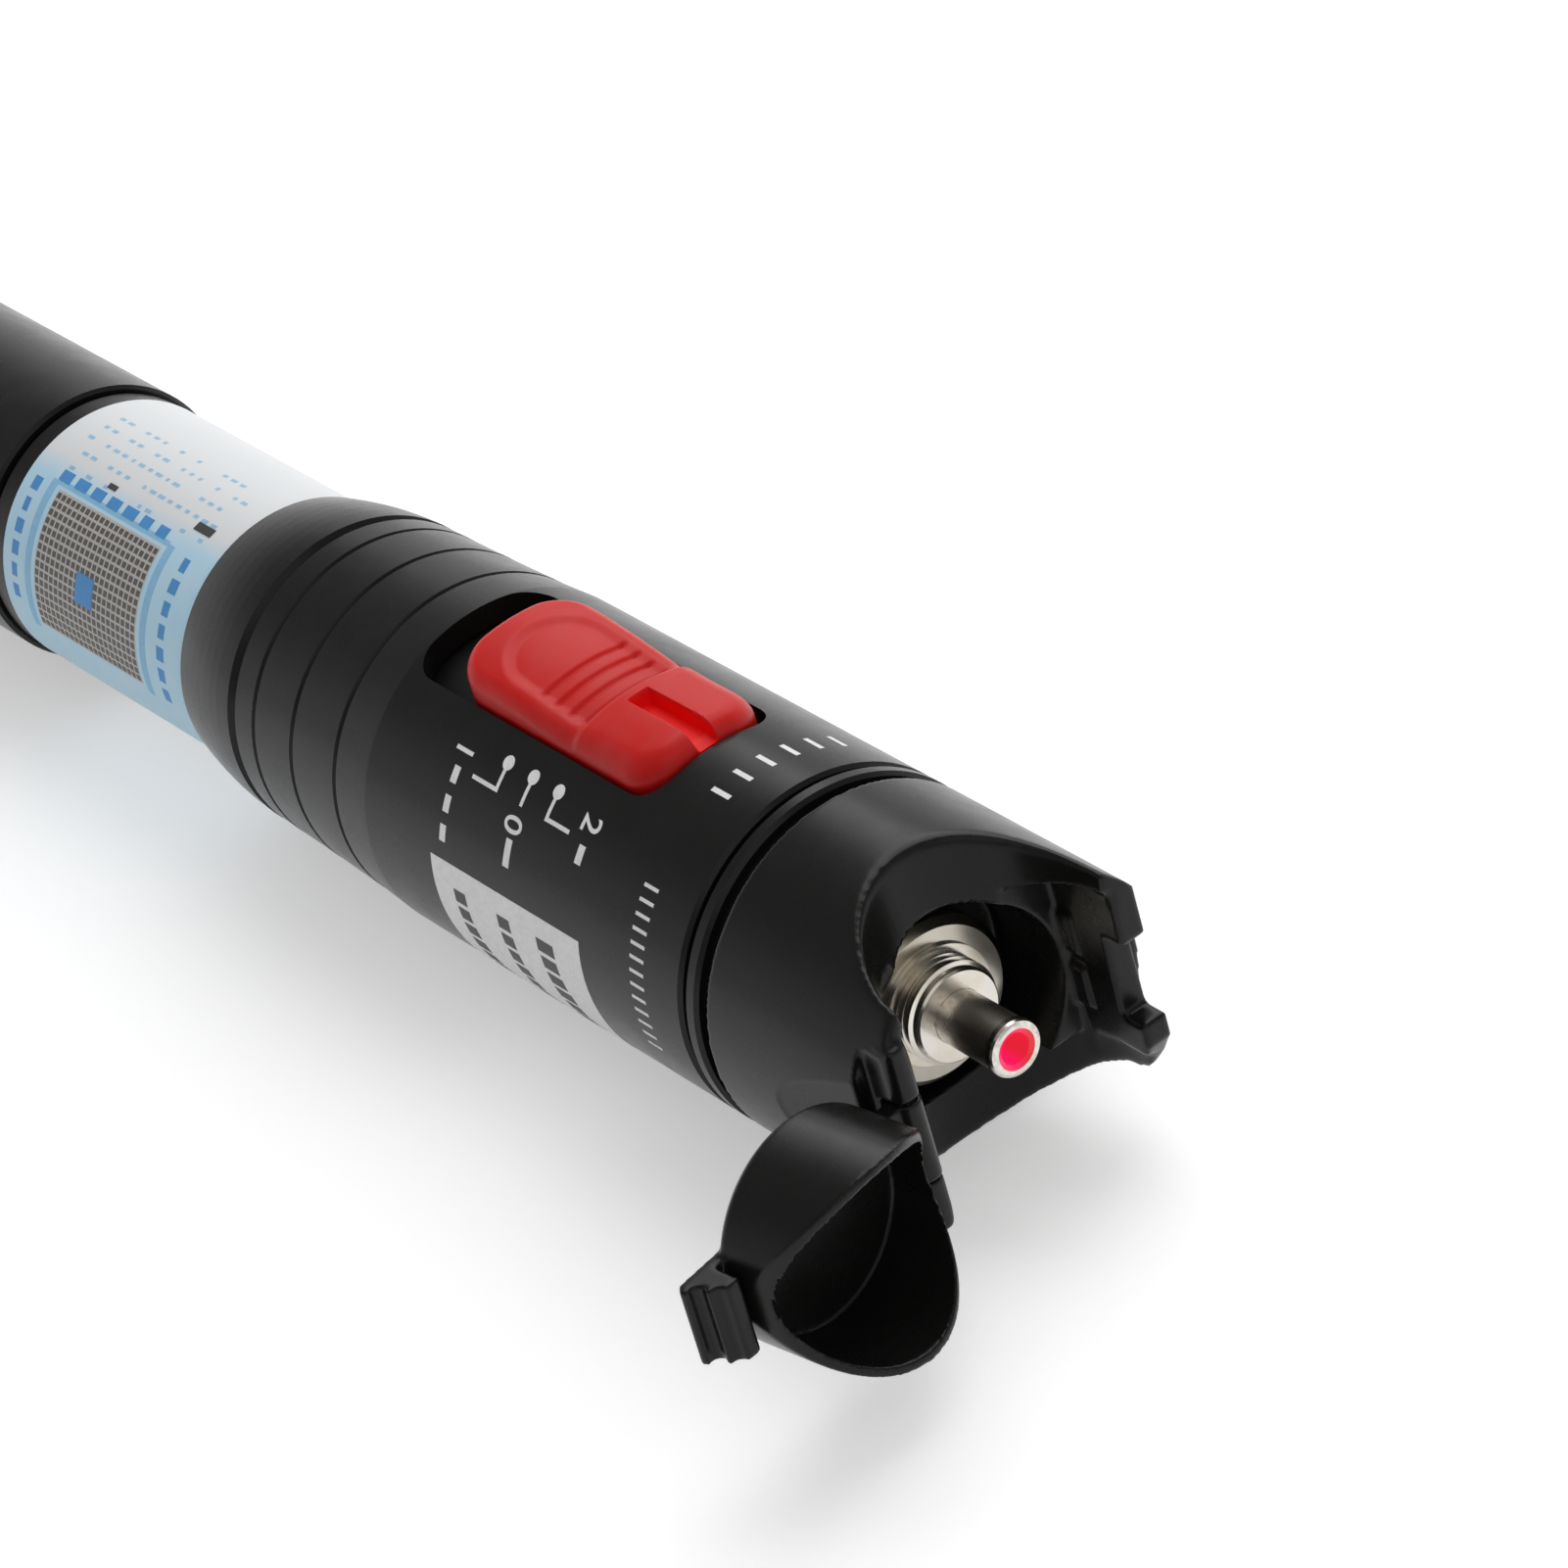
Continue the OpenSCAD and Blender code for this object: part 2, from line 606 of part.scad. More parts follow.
// Red button with a thumb dish behind, fine cross ribs in the middle and a lengthwise notch in front
module slider_button() color(red) difference() {
    union() {
        intersection() {
            round_prism(slider_back, slider_front, slider_w, slider_corner, slider_top + over);
            pipe(slider_top, shoe_r + slip, slider_back - over, slider_front + over);
        }
        for (i = [0:cross_rib_count - 1]) translate([slider_mid + i*cross_rib_step, 0, 0]) intersection() {
            bar(slider_top + cross_rib_h, 0, cross_rib_w);
            block([-over, slider_corner - slider_w/2, body_r], [over, slider_w/2 - slider_corner, 2*body_r]);
        }
    }
    translate([slider_mid - thumb_share*slider_len/2, 0, slider_top + dish_r - dish_deep]) sphere(r = dish_r);
    block([slider_front - front_notch_share*slider_len, -front_notch_w/2, slider_top - front_notch_d],
          [slider_front + over, front_notch_w/2, slider_top + over]);
}

// Shoe under the body's wall, which guides the slider and closes the slot at every place
module slider_shoe() color(dark) difference() {
    intersection() {
        pipe(shoe_r, shoe_r - shoe_t, shoe_back, shoe_front);
        block([shoe_back, -shoe_w/2, 0], [shoe_front, shoe_w/2, body_r]);
    }
    block([lever_x - lever_l/2 - slip, -lever_w/2 - slip, 0], [lever_x + lever_l/2 + slip, lever_w/2 + slip, body_r]);
}

module switch_lever() color(white)
    block([lever_x - lever_l/2, -lever_w/2, lever_low], [lever_x + lever_l/2, lever_w/2, shoe_r - slip]);

// Case of the slide switch, open on top along the lever's travel
module switch_case() color(steel) translate([case_x, 0, board_t]) difference() {
    block([-case_l/2, -case_w/2, 0], [case_l/2, case_w/2, case_h]);
    block([case_wall - case_l/2, case_wall - case_w/2, case_wall],
          [case_l/2 - case_wall, case_w/2 - case_wall, case_h - case_wall]);
    block([case_wall - case_l/2, -lever_w/2 - gap, case_h/2], [case_l/2 - case_wall, lever_w/2 + gap, case_h + over]);
}

// Leaf that gives the slider its steps, in the bottom of the switch
module detent_spring() color(brass) translate([case_x, 0, board_t + case_wall])
    block([2*case_wall - case_l/2, -lever_w/2, 0], [case_l/2 - 2*case_wall, lever_w/2, detent_t]);

module circuit_board() color(green) block([board_back, -board_w/2, 0], [board_front, board_w/2, board_t]);

// Driver chip and four small parts under the board
module board_chips() color(dark) translate([board_front - chip_l, 0, 0]) {
    block([-chip_l/2, -chip_w/2, -chip_h], [chip_l/2, chip_w/2, 0]);
    for (sy = [-1, 1], i = [0, 1]) translate([-2*i*small_l, sy*(chip_w/2 + 2*small_w), 0])
        block([-small_l/2, -small_w/2, -small_h], [small_l/2, small_w/2, 0]);
}

// Two rails inside the body that hold the board's edges
module board_rails() color(black) for (side = [0, 1]) mirror([0, side, 0]) difference() {
    intersection() {
        bar(bore_r - slip, board_back, board_front - rail_w);
        block([board_back, (board_w - rail_w)/2, (board_t - rail_h)/2 - board_t],
              [board_front, body_r, (board_t + rail_h)/2 + board_t]);
    }
    block([board_back - over, 0, 0], [board_front + over, board_w/2, board_t]);
}

// Strip that carries the current from the cells to the board
module contact_strip() color(steel)
    block([front_contact_x, -strip_w/2, -strip_t], [board_back + strip_lap, strip_w/2, 0]);

module front_contact() color(steel) bar(contact_r, front_contact_x - contact_t, front_contact_x);

// Disc in the tube's front end that carries the front contact
module contact_insulator() color(white) difference() {
    bar(tube_bore - slip, front_contact_x, tube_x);
    block([front_contact_x - over, -strip_w/2, -strip_t], [tube_x + over, strip_w/2, 0]);
}

module battery_tube() color(black) turned(concat(
    [[tube_bore, tube_x], [tube_r - edge, tube_x], [tube_r, tube_x - edge], [tube_r, tube_end],
     [seal_floor, tube_end], [seal_floor, thread_start]],
    [for (i = [0:tube_thread_turns - 1]) each [
        [tube_thread_r, thread_start - i*tube_pitch],
        [tube_thread_r - tube_thread_h, thread_start - (i + 0.5)*tube_pitch]]],
    [[tube_thread_r - tube_thread_h, tail_x - thread_seat], [tube_bore, tail_x - thread_seat]]));

module tube_label() color("lightblue")
    pipe(tube_r + label_t, tube_r + slip, rear_x - label_in - label_len, rear_x - label_in);

// Liner that carries the cells in the middle of the tube, with long ribs outside
module cell_liner() color(white) difference() {
    union() {
        bar(liner_bore + liner_shell, cell_back - liner_over, cell_front);
        intersection() {
            for (i = [0:liner_ribs - 1]) rotate([i*360/liner_ribs, 0, 0])
                block([cell_back - liner_over, 0, -liner_rib_w/2], [cell_front, body_r, liner_rib_w/2]);
            bar(liner_r, tail_plate_x, cell_front);
        }
    }
    bar(liner_bore, tail_plate_x, cell_front + over);
}

// An AA cell whose nub's top is at x
module cell(x) {
    bar(nub_r, x - nub_h, x);
    turned([[0, x - nub_h], [cell_r - deep_edge, x - nub_h], [cell_r, x - nub_h - deep_edge],
            [cell_r, x - cell_len + edge], [cell_r - edge, x - cell_len], [0, x - cell_len]]);
}

module front_cell() color("steelblue") cell(cell_front);

module rear_cell() color("steelblue") cell(cell_mid);

module seal_ring() color(dark) translate([seal_x, 0, 0]) rotate([0, 90, 0])
    rotate_extrude() translate([seal_floor + slip + seal_wire/2, 0]) circle(d = seal_wire);

module tail_barrel() color(black) difference() {
    turned([[0, tail_x], [tail_r - edge, tail_x], [tail_r, tail_x - edge], [tail_r, tail_end + tail_round],
            [tail_r - tail_round*tail_round_share, tail_end + tail_round*tail_round_share],
            [tail_r - tail_round, tail_end], [0, tail_end]]);
    bar(tube_thread_r + fit, tail_x - thread_seat - thread_relief, tail_x + over);
    bar(tail_bore, tail_floor_x, tail_x);
}

module tail_contact() color(steel) bar(contact_r, tail_floor_x, tail_plate_x);

// Tail spring: one unbroken wire wound in a helix
module tail_spring() color(steel) {
    steps = spring_turns*turn_steps;
    rise = (spring_len - 2*wire_r)/steps;
    ring = [for (k = [0:wire_sides - 1]) [cos(k*360/wire_sides), sin(k*360/wire_sides)]*wire_r];
    points = [for (i = [0:steps]) let (a = i*360/turn_steps) for (p = ring)
        [tail_plate_x + wire_r + i*rise + p[1], (spring_r + p[0])*cos(a), (spring_r + p[0])*sin(a)]];
    sides = [for (i = [0:steps - 1], k = [0:wire_sides - 1])
        let (a = i*wire_sides + k, b = i*wire_sides + (k + 1) % wire_sides)
        each [[a, b, b + wire_sides], [a, b + wire_sides, a + wire_sides]]];
    low = [for (k = [1:wire_sides - 2]) [0, k + 1, k]];
    high = [for (k = [1:wire_sides - 2]) [steps*wire_sides, steps*wire_sides + k, steps*wire_sides + k + 1]];
    polyhedron(points, concat(sides, low, high));
}

front_body();
joint_ring();
head_hood();
port_body();
ferrule_holder();
split_sleeve();
fibre_stub();
port_nut();
laser_housing();
laser_diode();
focus_lens();
lens_ring();
laser_seat();
dust_cap();
hinge_pin();
slider_button();
slider_shoe();
switch_lever();
switch_case();
detent_spring();
circuit_board();
board_chips();
board_rails();
contact_strip();
front_contact();
contact_insulator();
battery_tube();
tube_label();
cell_liner();
front_cell();
rear_cell();
seal_ring();
tail_barrel();
tail_contact();
tail_spring();
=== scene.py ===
"""Looks and studio for a visual fault locator pen, built around its CAD frame.

The pen's axis is X, with +X out of the fibre port. The slider faces +Z and the cap's hinge is on the -Y side.
Angles around the pen start at +Y and grow towards +Z, so 90 degrees is the slider's side.
"""

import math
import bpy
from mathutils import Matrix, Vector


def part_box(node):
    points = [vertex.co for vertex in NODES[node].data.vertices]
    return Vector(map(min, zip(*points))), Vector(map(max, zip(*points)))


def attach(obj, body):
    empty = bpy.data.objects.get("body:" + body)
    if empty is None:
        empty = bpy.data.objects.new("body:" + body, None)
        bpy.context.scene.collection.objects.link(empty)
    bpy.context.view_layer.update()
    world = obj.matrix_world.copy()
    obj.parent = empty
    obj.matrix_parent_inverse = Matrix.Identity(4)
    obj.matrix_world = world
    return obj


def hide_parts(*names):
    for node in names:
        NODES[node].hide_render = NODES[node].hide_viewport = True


bl_info = {
    "name": "Fault Locator Pen",
    "version": (1, 0, 0),
    "blender": (4, 5, 0),
    "location": "3D View > Sidebar > Pen",
    "description": "Finishes a visual fault locator pen on its CAD frame and sets its studio",
    "category": "Object",
}

import bmesh
import bpy
import numpy as np
from bpy.props import FloatProperty, FloatVectorProperty, IntProperty, PointerProperty
from mathutils import Matrix, Vector

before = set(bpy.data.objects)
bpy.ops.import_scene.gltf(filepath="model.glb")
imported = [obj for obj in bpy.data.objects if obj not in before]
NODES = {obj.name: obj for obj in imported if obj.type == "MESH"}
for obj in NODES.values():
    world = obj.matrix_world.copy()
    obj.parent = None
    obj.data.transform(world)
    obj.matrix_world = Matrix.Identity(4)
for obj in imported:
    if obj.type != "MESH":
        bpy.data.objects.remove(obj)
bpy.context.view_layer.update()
MM = 0.001

# Sizes that come from the frame
SLIDER_LOW, SLIDER_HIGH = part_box("slider_button")
BODY_LOW, BODY_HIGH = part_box("front_body")
BODY_RADIUS = BODY_HIGH.y
LABEL_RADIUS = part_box("tube_label")[1].y


# Properties

def length(name, description, default, low=0.0, high=1.0):
    """A length in metres, shown in the scene's units."""
    return FloatProperty(name=name, description=description, default=default, min=low, max=high,
                         precision=5, unit="LENGTH")


def angle(name, description, degrees):
    """An angle, kept in radians."""
    return FloatProperty(name=name, description=description, default=math.radians(degrees),
                         subtype="ANGLE", unit="ROTATION")


def colour(name, description, default):
    """A linear colour with alpha."""
    return FloatVectorProperty(name=name, description=description, default=default, size=4,
                               min=0.0, max=1.0, subtype="COLOR")


def number(name, description, default, low, high):
    """A plain number."""
    return FloatProperty(name=name, description=description, default=default, min=low, max=high)


def whole(name, description, default, high):
    """A whole number from 0 up."""
    return IntProperty(name=name, description=description, default=default, min=0, max=high)


class PenFinish(bpy.types.PropertyGroup):
    """Colours and finishes of the pen's pieces."""
    black: colour("Black plastic", "Colour of the moulded body, head and tail", (0.0078, 0.0078, 0.0073, 1))
    red: colour("Slider red", "Colour of the slide button", (0.66, 0.008, 0.006, 1))
    # Painted light: the notch's brighter red stands in for light that enters the plastic inside the notch
    notch_lit_red: colour("Notch red", "Colour inside the slider's notch", (0.90, 0.004, 0.003, 1))
    nickel: colour("Nickel", "Colour of the plated port", (0.72, 0.69, 0.64, 1))
    ink: colour("Print", "Colour of the white print on the body", (0.93, 0.93, 0.93, 1))
    grey_ink: colour("Grey print", "Colour of the bars on the white panel", (0.045, 0.045, 0.05, 1))
    paper: colour("Label white", "Colour of the label's upper part", (0.80, 0.82, 0.84, 1))
    paper_blue: colour("Label blue", "Colour of the label's lower part", (0.50, 0.79, 0.98, 1))
    blue_ink: colour("Blue print", "Colour of the label's bars", (0.07, 0.32, 0.72, 1))
    glow: colour("Laser glow", "Colour of the light inside the port", (0.95, 0.008, 0.11, 1))
    glow_edge: colour("Rim glow", "Colour of the light on the bore's far wall", (0.70, 0.016, 0.032, 1))
    glow_strength: number("Glow strength", "Strength of the laser's light", 1.0, 0.0, 10.0)
    gloss: number("Plastic roughness", "Roughness of the black plastic", 0.26, 0.05, 1.0)


class SoftenSettings(bpy.types.PropertyGroup):
    """How the moulded head and cap get their soft edges."""
    head_voxel: length("Head voxel", "Size of the head's remeshing voxel", 0.00022)
    cap_voxel: length("Cap voxel", "Size of the cap's remeshing voxel", 0.00017)
    head_passes: whole("Head passes", "Smoothing passes on every edge of the head", 5, 50)
    cap_passes: whole("Cap passes", "Smoothing passes on every edge of the cap", 8, 50)
    rim_passes: whole("Rim passes", "Further passes along the head's open rim", 34, 100)
    rim_width: length("Rim width", "Width of the soft band along the head's open rim", 0.0016)


class SliderShape(bpy.types.PropertyGroup):
    """Sizes of the thumb slider."""
    corner: length("Corner", "Radius of the outline's corners", 0.0035)
    rear_fillet: length("Rear fillet", "Radius of the top edge at the rear", 0.0011)
    front_fillet: length("Front fillet", "Radius of the top edge at the front", 0.0018)
    dish_radius: length("Dish radius", "Radius of the thumb dish's round rear end", 0.0042)
    dish_inset: length("Dish inset", "Distance from the rear end to the thumb dish", 0.0029)
    dish_depth: length("Dish depth", "How far the thumb dish lies below its rim", 0.0003)
    groove_pitch: length("Groove pitch", "Distance between the cross grooves", 0.00165)
    groove_depth: length("Groove depth", "Depth of the cross grooves", 0.00026)
    groove_count: whole("Grooves", "Number of cross grooves", 4, 12)
    notch_width: length("Notch width", "Width of the lengthwise notch", 0.0018)
    notch_depth: length("Notch depth", "Depth of the lengthwise notch", 0.0013)
    notch_length: length("Notch length", "Length of the lengthwise notch", 0.0083)


class PrintLayout(bpy.types.PropertyGroup):
    """Places and sizes of the print on the body."""
    thickness: length("Ink thickness", "Height of the ink over the surface", 0.00002)
    mark_step: length("Mark step", "Distance between the three position marks", 0.00323)
    mark_x: length("Middle mark", "Place of the middle position mark along X", -0.0429, -1.0)
    mark_angle: angle("Mark angle", "Place of the marks around the pen", 126.2)
    dot_radius: length("Dot radius", "Radius of a position mark's dot", 0.0006)
    line_width: length("Line width", "Width of the leader lines", 0.00034)
    digit_height: length("Digit height", "Height of the position digits", 0.0021)
    panel_start: length("Panel start", "Rear end of the white panel along X", -0.0527, -1.0)
    panel_end: length("Panel end", "Front end of the white panel along X", -0.0335, -1.0)
    panel_low: angle("Panel top edge", "Where the white panel begins around the pen", 165.4)
    panel_high: angle("Panel lower edge", "Where the white panel ends around the pen", 214.0)


class StudioSettings(bpy.types.PropertyGroup):
    """Camera and light."""
    aim: FloatVectorProperty(name="Aim", description="Point that the camera looks at", size=3, precision=5,
                             default=(-0.03397, 0.00681, 0.00489), subtype="TRANSLATION")
    distance: length("Distance", "From the camera to its aim", 0.49404, 0.0, 10.0)
    azimuth: angle("Azimuth", "Direction of the camera around Z, from +X", -28.7347)
    elevation: angle("Elevation", "Height of the camera over its aim", 33.7753)
    roll: angle("Roll", "Turn of the picture about the line of sight", -16.3647)
    lens: number("Lens", "Focal length in millimetres", 153.222, 10, 500)
    sky: number("Sky light", "Strength of the even light", 0.3, 0, 5)
    key: number("Key light", "Power of the large lamp", 9.0, 0, 100)
    fill: number("Fill light", "Power of the lamp on the camera's side", 1.2, 0, 100)
    horizon: number("Horizon light", "Further strength of the sky near the horizon", 0.7, 0, 5)
    lift: number("Floor lift", "Light that the white floor adds to the picture", 0.40, 0, 1)
    floor: colour("Floor", "Colour of the floor", (0.93, 0.93, 0.93, 1))


# Node helpers

class Graph:
    """Adds nodes to one tree: a value in inputs is set, and a socket in inputs is linked."""

    def __init__(self, tree):
        self.tree = tree

    def add(self, kind, inputs=None, **settings):
        node = self.tree.nodes.new(kind)
        for key, value in settings.items():
            setattr(node, key, value)
        for key, value in (inputs or {}).items():
            socket = node.inputs[key]
            if isinstance(value, bpy.types.NodeSocket):
                self.tree.links.new(value, socket)
            else:
                socket.default_value = value
        return node

    def maths(self, operation, first, second=0.0):
        return self.add("ShaderNodeMath", {0: first, 1: second}, operation=operation).outputs[0]

    def split(self, vector):
        """The X, Y and Z of a vector."""
        return self.add("ShaderNodeSeparateXYZ", {0: vector}).outputs

    def ramp(self, value, low, high, new_low=0.0, new_high=1.0):
        node = self.add("ShaderNodeMapRange", {"Value": value, "From Min": low, "From Max": high,
                                               "To Min": new_low, "To Max": new_high})
        return node.outputs["Result"]

    def spread(self, noise, low, high):
        """The usual range of a noise, spread from low to high."""
        return self.ramp(noise, 0.3, 0.7, low, high)

    def mix(self, factor, first, second):
        node = self.add("ShaderNodeMix", {0: factor, 6: first, 7: second}, data_type="RGBA")
        return node.outputs[2]

    def noise(self, place, size, detail=2.0, roughness=0.5):
        """Noise whose clouds are about this size, in metres."""
        node = self.add("ShaderNodeTexNoise", {"Vector": place, "Scale": 1 / size, "Detail": detail,
                                               "Roughness": roughness})
        return node.outputs["Fac"]

    def bump(self, height, strength, distance):
        node = self.add("ShaderNodeBump", {"Height": height, "Strength": strength, "Distance": distance})
        return node.outputs["Normal"]


def toned(tone, factor, paler=0.0):
    """A colour made darker or lighter by a factor, then paler by a share of white."""
    return [min(1, part * factor + paler) for part in tone[:3]] + [1]


def new_material(name):
    """A material with an empty tree, and the piece's own coordinates."""
    material = bpy.data.materials.new(name)
    material.use_nodes = True
    material.node_tree.nodes.clear()
    graph = Graph(material.node_tree)
    place = graph.add("ShaderNodeTexCoord").outputs["Object"]
    return material, graph, place


def surface(graph, inputs):
    """A Principled shader on the material's output."""
    shader = graph.add("ShaderNodeBsdfPrincipled", inputs)
    graph.add("ShaderNodeOutputMaterial", {"Surface": shader.outputs[0]})


# Finishes

def moulded(name, tone, roughness, variation=0.12):
    """Moulded plastic: fine grain, and soft clouds in tone and gloss."""
    material, graph, place = new_material(name)
    clouds = graph.noise(place, 18 * MM, 3.0)
    grain = graph.noise(place, 0.22 * MM, 2.0, 0.6)
    smears = graph.noise(place, 3.2 * MM, 4.0, 0.65)
    base = graph.mix(graph.spread(clouds, 0.0, 1.0), toned(tone, 1 - variation), toned(tone, 1 + variation))
    rough = graph.spread(smears, roughness * 0.88, roughness * 1.14)
    surface(graph, {"Base Color": base, "Roughness": rough, "Normal": graph.bump(grain, 0.35, 0.006 * MM),
                    "IOR": 1.31})
    return material


def slider_plastic(name, tone, notch_lit_tone, shape):
    """Red plastic: fine grain, worn paler in soft clouds, with painted shade darkening it towards its foot
    and painted light making the notch a brighter red.
    """
    material, graph, place = new_material(name)
    x, y, z = graph.split(place)
    clouds = graph.noise(place, 3 * MM, 3.0)
    grain = graph.noise(place, 0.25 * MM, 2.0, 0.6)
    base = graph.mix(graph.ramp(clouds, 0.35, 0.75), tone, toned(tone, 0.94, 0.018))
    # Painted shade: the button darkens towards its foot, low by the body's slot, where shade falls
    foot_shade = graph.ramp(z, 13.2 * MM, 14.6 * MM, 0.62, 1.0)
    base = graph.mix(foot_shade, toned(tone, 0.45), base)
    # Painted light: inside the notch the colour turns to a brighter red, standing in for light that enters
    # the plastic there
    edge = shape.notch_width / 2
    start = SLIDER_HIGH.x - shape.notch_length
    across = graph.ramp(graph.maths("ABSOLUTE", y), edge + 0.14 * MM, edge)
    along = graph.ramp(x, start - 0.3 * MM, start + 0.2 * MM)
    base = graph.mix(graph.maths("MULTIPLY", across, along), base, notch_lit_tone)
    surface(graph, {"Base Color": base, "Roughness": graph.spread(grain, 0.34, 0.44),
                    "Specular IOR Level": 0.2, "Normal": graph.bump(grain, 0.35, 0.006 * MM),
                    "Subsurface Weight": 0.12, "Subsurface Scale": 1.0,
                    "Subsurface Radius": (0.6 * MM, 0.08 * MM, 0.06 * MM)})
    return material


def turned_metal(name, tone, tint, roughness, chamber_shade=None):
    """Turned metal: fine rings along X, a plating whose tint wanders, and, when given a chamber shade,
    painted shade on the rear stretch that lies in the head's chamber.
    """
    material, graph, place = new_material(name)
    x = graph.split(place)[0]
    lines_per_metre = 1 / (0.06 * MM)
    rings = graph.add("ShaderNodeTexNoise", {"W": graph.maths("MULTIPLY", x, lines_per_metre), "Scale": 1.0,
                                             "Detail": 3.0}, noise_dimensions="1D").outputs["Fac"]
    stain = graph.noise(place, 2.6 * MM, 3.0)
    base = graph.mix(graph.ramp(stain, 0.42, 0.75), tone, tint)
    if chamber_shade:
        # Painted shade: the stretch behind the thread lies in the chamber's shade, so its colour darkens from
        # these places along the pen
        shade_from, shade_full = -8.8 * MM, -9.1 * MM
        base = graph.mix(graph.ramp(x, shade_from, shade_full, 0.0, 0.85), base, chamber_shade)
    surface(graph, {"Base Color": base, "Metallic": 1.0, "Normal": graph.bump(rings, 0.5, 0.0012 * MM),
                    "Roughness": graph.spread(rings, roughness * 0.8, roughness * 1.3)})
    return material


def light_shader(graph, y, z, glow, edge, strength):
    """Light that turns from the laser's own red to a warmer red on the +Y side of the bore."""
    side = graph.ramp(graph.maths("ADD", y, graph.maths("MULTIPLY", z, -0.4)), 0.2 * MM, 1.1 * MM)
    shader = graph.add("ShaderNodeBsdfPrincipled", {
        "Base Color": (0.05, 0.002, 0.006, 1), "Roughness": 0.25,
        "Emission Color": graph.mix(side, glow, edge), "Emission Strength": strength})
    return shader.outputs[0]


def glowing_holder(name, tone, tint, roughness, *light):
    """The port's plated holder: a soft barrel, a bright rim, and the laser's light on its bore's wall."""
    material, graph, place = new_material(name)
    x, y, z = graph.split(place)
    bore_radius = 1.63 * MM
    squares = [graph.maths("MULTIPLY", part, part) for part in (y, z)]
    bore = graph.maths("LESS_THAN", graph.maths("SQRT", graph.maths("ADD", *squares)), bore_radius)
    stain = graph.noise(place, 0.4 * MM, 3.0)
    base = graph.mix(graph.ramp(stain, 0.4, 0.7), tone, tint)
    barrel_rear = graph.ramp(x, -5.6 * MM, -4.2 * MM)
    barrel_front = graph.ramp(x, -0.66 * MM, -0.74 * MM)
    barrel = graph.maths("MULTIPLY", barrel_rear, barrel_front)
    base = graph.mix(graph.maths("MULTIPLY", barrel, 0.6), base, (0.34, 0.3, 0.25, 1))
    rough = graph.spread(stain, roughness * 0.85, roughness * 1.15)
    rough = graph.maths("ADD", rough, graph.maths("MULTIPLY", barrel, 0.12))
    metal = graph.add("ShaderNodeBsdfPrincipled", {
        "Base Color": base, "Metallic": 1.0, "Roughness": rough,
        "Normal": graph.bump(stain, 0.08, 0.001 * MM)})
    lit = light_shader(graph, y, z, *light)
    mixed = graph.add("ShaderNodeMixShader", {0: bore, 1: metal.outputs[0], 2: lit})
    graph.add("ShaderNodeOutputMaterial", {"Surface": mixed.outputs[0]})
    return material


def glowing_ceramic(name, *light):
    """White ceramic, lit through by the laser."""
    material, graph, place = new_material(name)
    y, z = graph.split(place)[1:3]
    graph.add("ShaderNodeOutputMaterial", {"Surface": light_shader(graph, y, z, *light)})
    return material


def ink(name, tone):
    """Printed ink with slightly uneven cover."""
    material, graph, place = new_material(name)
    cover = graph.noise(place, 0.5 * MM, 3.0, 0.6)
    surface(graph, {"Base Color": graph.mix(graph.ramp(cover, 0.25, 0.6), toned(tone, 0.88), tone),
                    "Roughness": graph.spread(cover, 0.45, 0.575),
                    "Normal": graph.bump(cover, 0.2, 0.004 * MM)})
    return material


def label_paper(name, white, blue):
    """Coated label: white on top and pale blue below, with faint tint changes and paper tooth."""
    material, graph, place = new_material(name)
    y, z = graph.split(place)[1:3]
    turn = graph.maths("ADD", graph.maths("ARCTAN2", z, y), 2 * math.pi)
    turn = graph.maths("MODULO", turn, 2 * math.pi)
    wander = graph.noise(place, 4 * MM)
    turn = graph.maths("ADD", turn, graph.ramp(wander, 0.0, 1.0, -0.05, 0.05))
    begins = graph.ramp(turn, math.radians(108), math.radians(118))
    ends = graph.ramp(turn, math.radians(232), math.radians(244), 1.0, 0.0)
    cloud = graph.spread(graph.noise(place, 2.2 * MM, 3.0), 0.72, 1.0)
    share = graph.maths("MULTIPLY", graph.maths("MULTIPLY", begins, ends), cloud)
    tooth = graph.noise(place, 0.12 * MM)
    surface(graph, {"Base Color": graph.mix(share, white, blue), "Specular IOR Level": 0.35,
                    "Roughness": graph.spread(tooth, 0.4, 0.52),
                    "Normal": graph.bump(tooth, 0.15, 0.004 * MM)})
    return material


def board_finish(name):
    """Green board with faint copper tracks under its lacquer."""
    material, graph, place = new_material(name)
    tracks = graph.add("ShaderNodeTexBrick", {
        "Vector": place, "Color1": (0.012, 0.10, 0.045, 1), "Color2": (0.016, 0.13, 0.055, 1),
        "Mortar": (0.03, 0.2, 0.09, 1), "Scale": 120.0, "Mortar Size": 0.03})
    surface(graph, {"Base Color": tracks.outputs["Color"], "Roughness": 0.28,
                    "Normal": graph.bump(tracks.outputs["Fac"], 0.4, 0.02 * MM)})
    return material


def cell_finish(name):
    """A cell's dark sleeve with scuffs that show the metal."""
    material, graph, place = new_material(name)
    scuffs = graph.noise(place, 1.5 * MM, 4.0, 0.7)
    base = graph.mix(graph.ramp(scuffs, 0.4, 0.7), (0.10, 0.12, 0.15, 1), (0.2, 0.22, 0.25, 1))
    surface(graph, {"Base Color": base, "Metallic": 0.8, "Normal": graph.bump(scuffs, 0.2, 0.01 * MM),
                    "Roughness": graph.spread(scuffs, 0.28, 0.45)})
    return material


def lens_finish(name):
    """Clear coated glass with a trace of dust."""
    material, graph, place = new_material(name)
    dust = graph.noise(place, 0.3 * MM)
    surface(graph, {"Base Color": (0.9, 0.95, 1.0, 1), "Transmission Weight": 0.95, "IOR": 1.52,
                    "Roughness": graph.ramp(dust, 0.5, 0.8, 0.01, 0.08)})
    return material


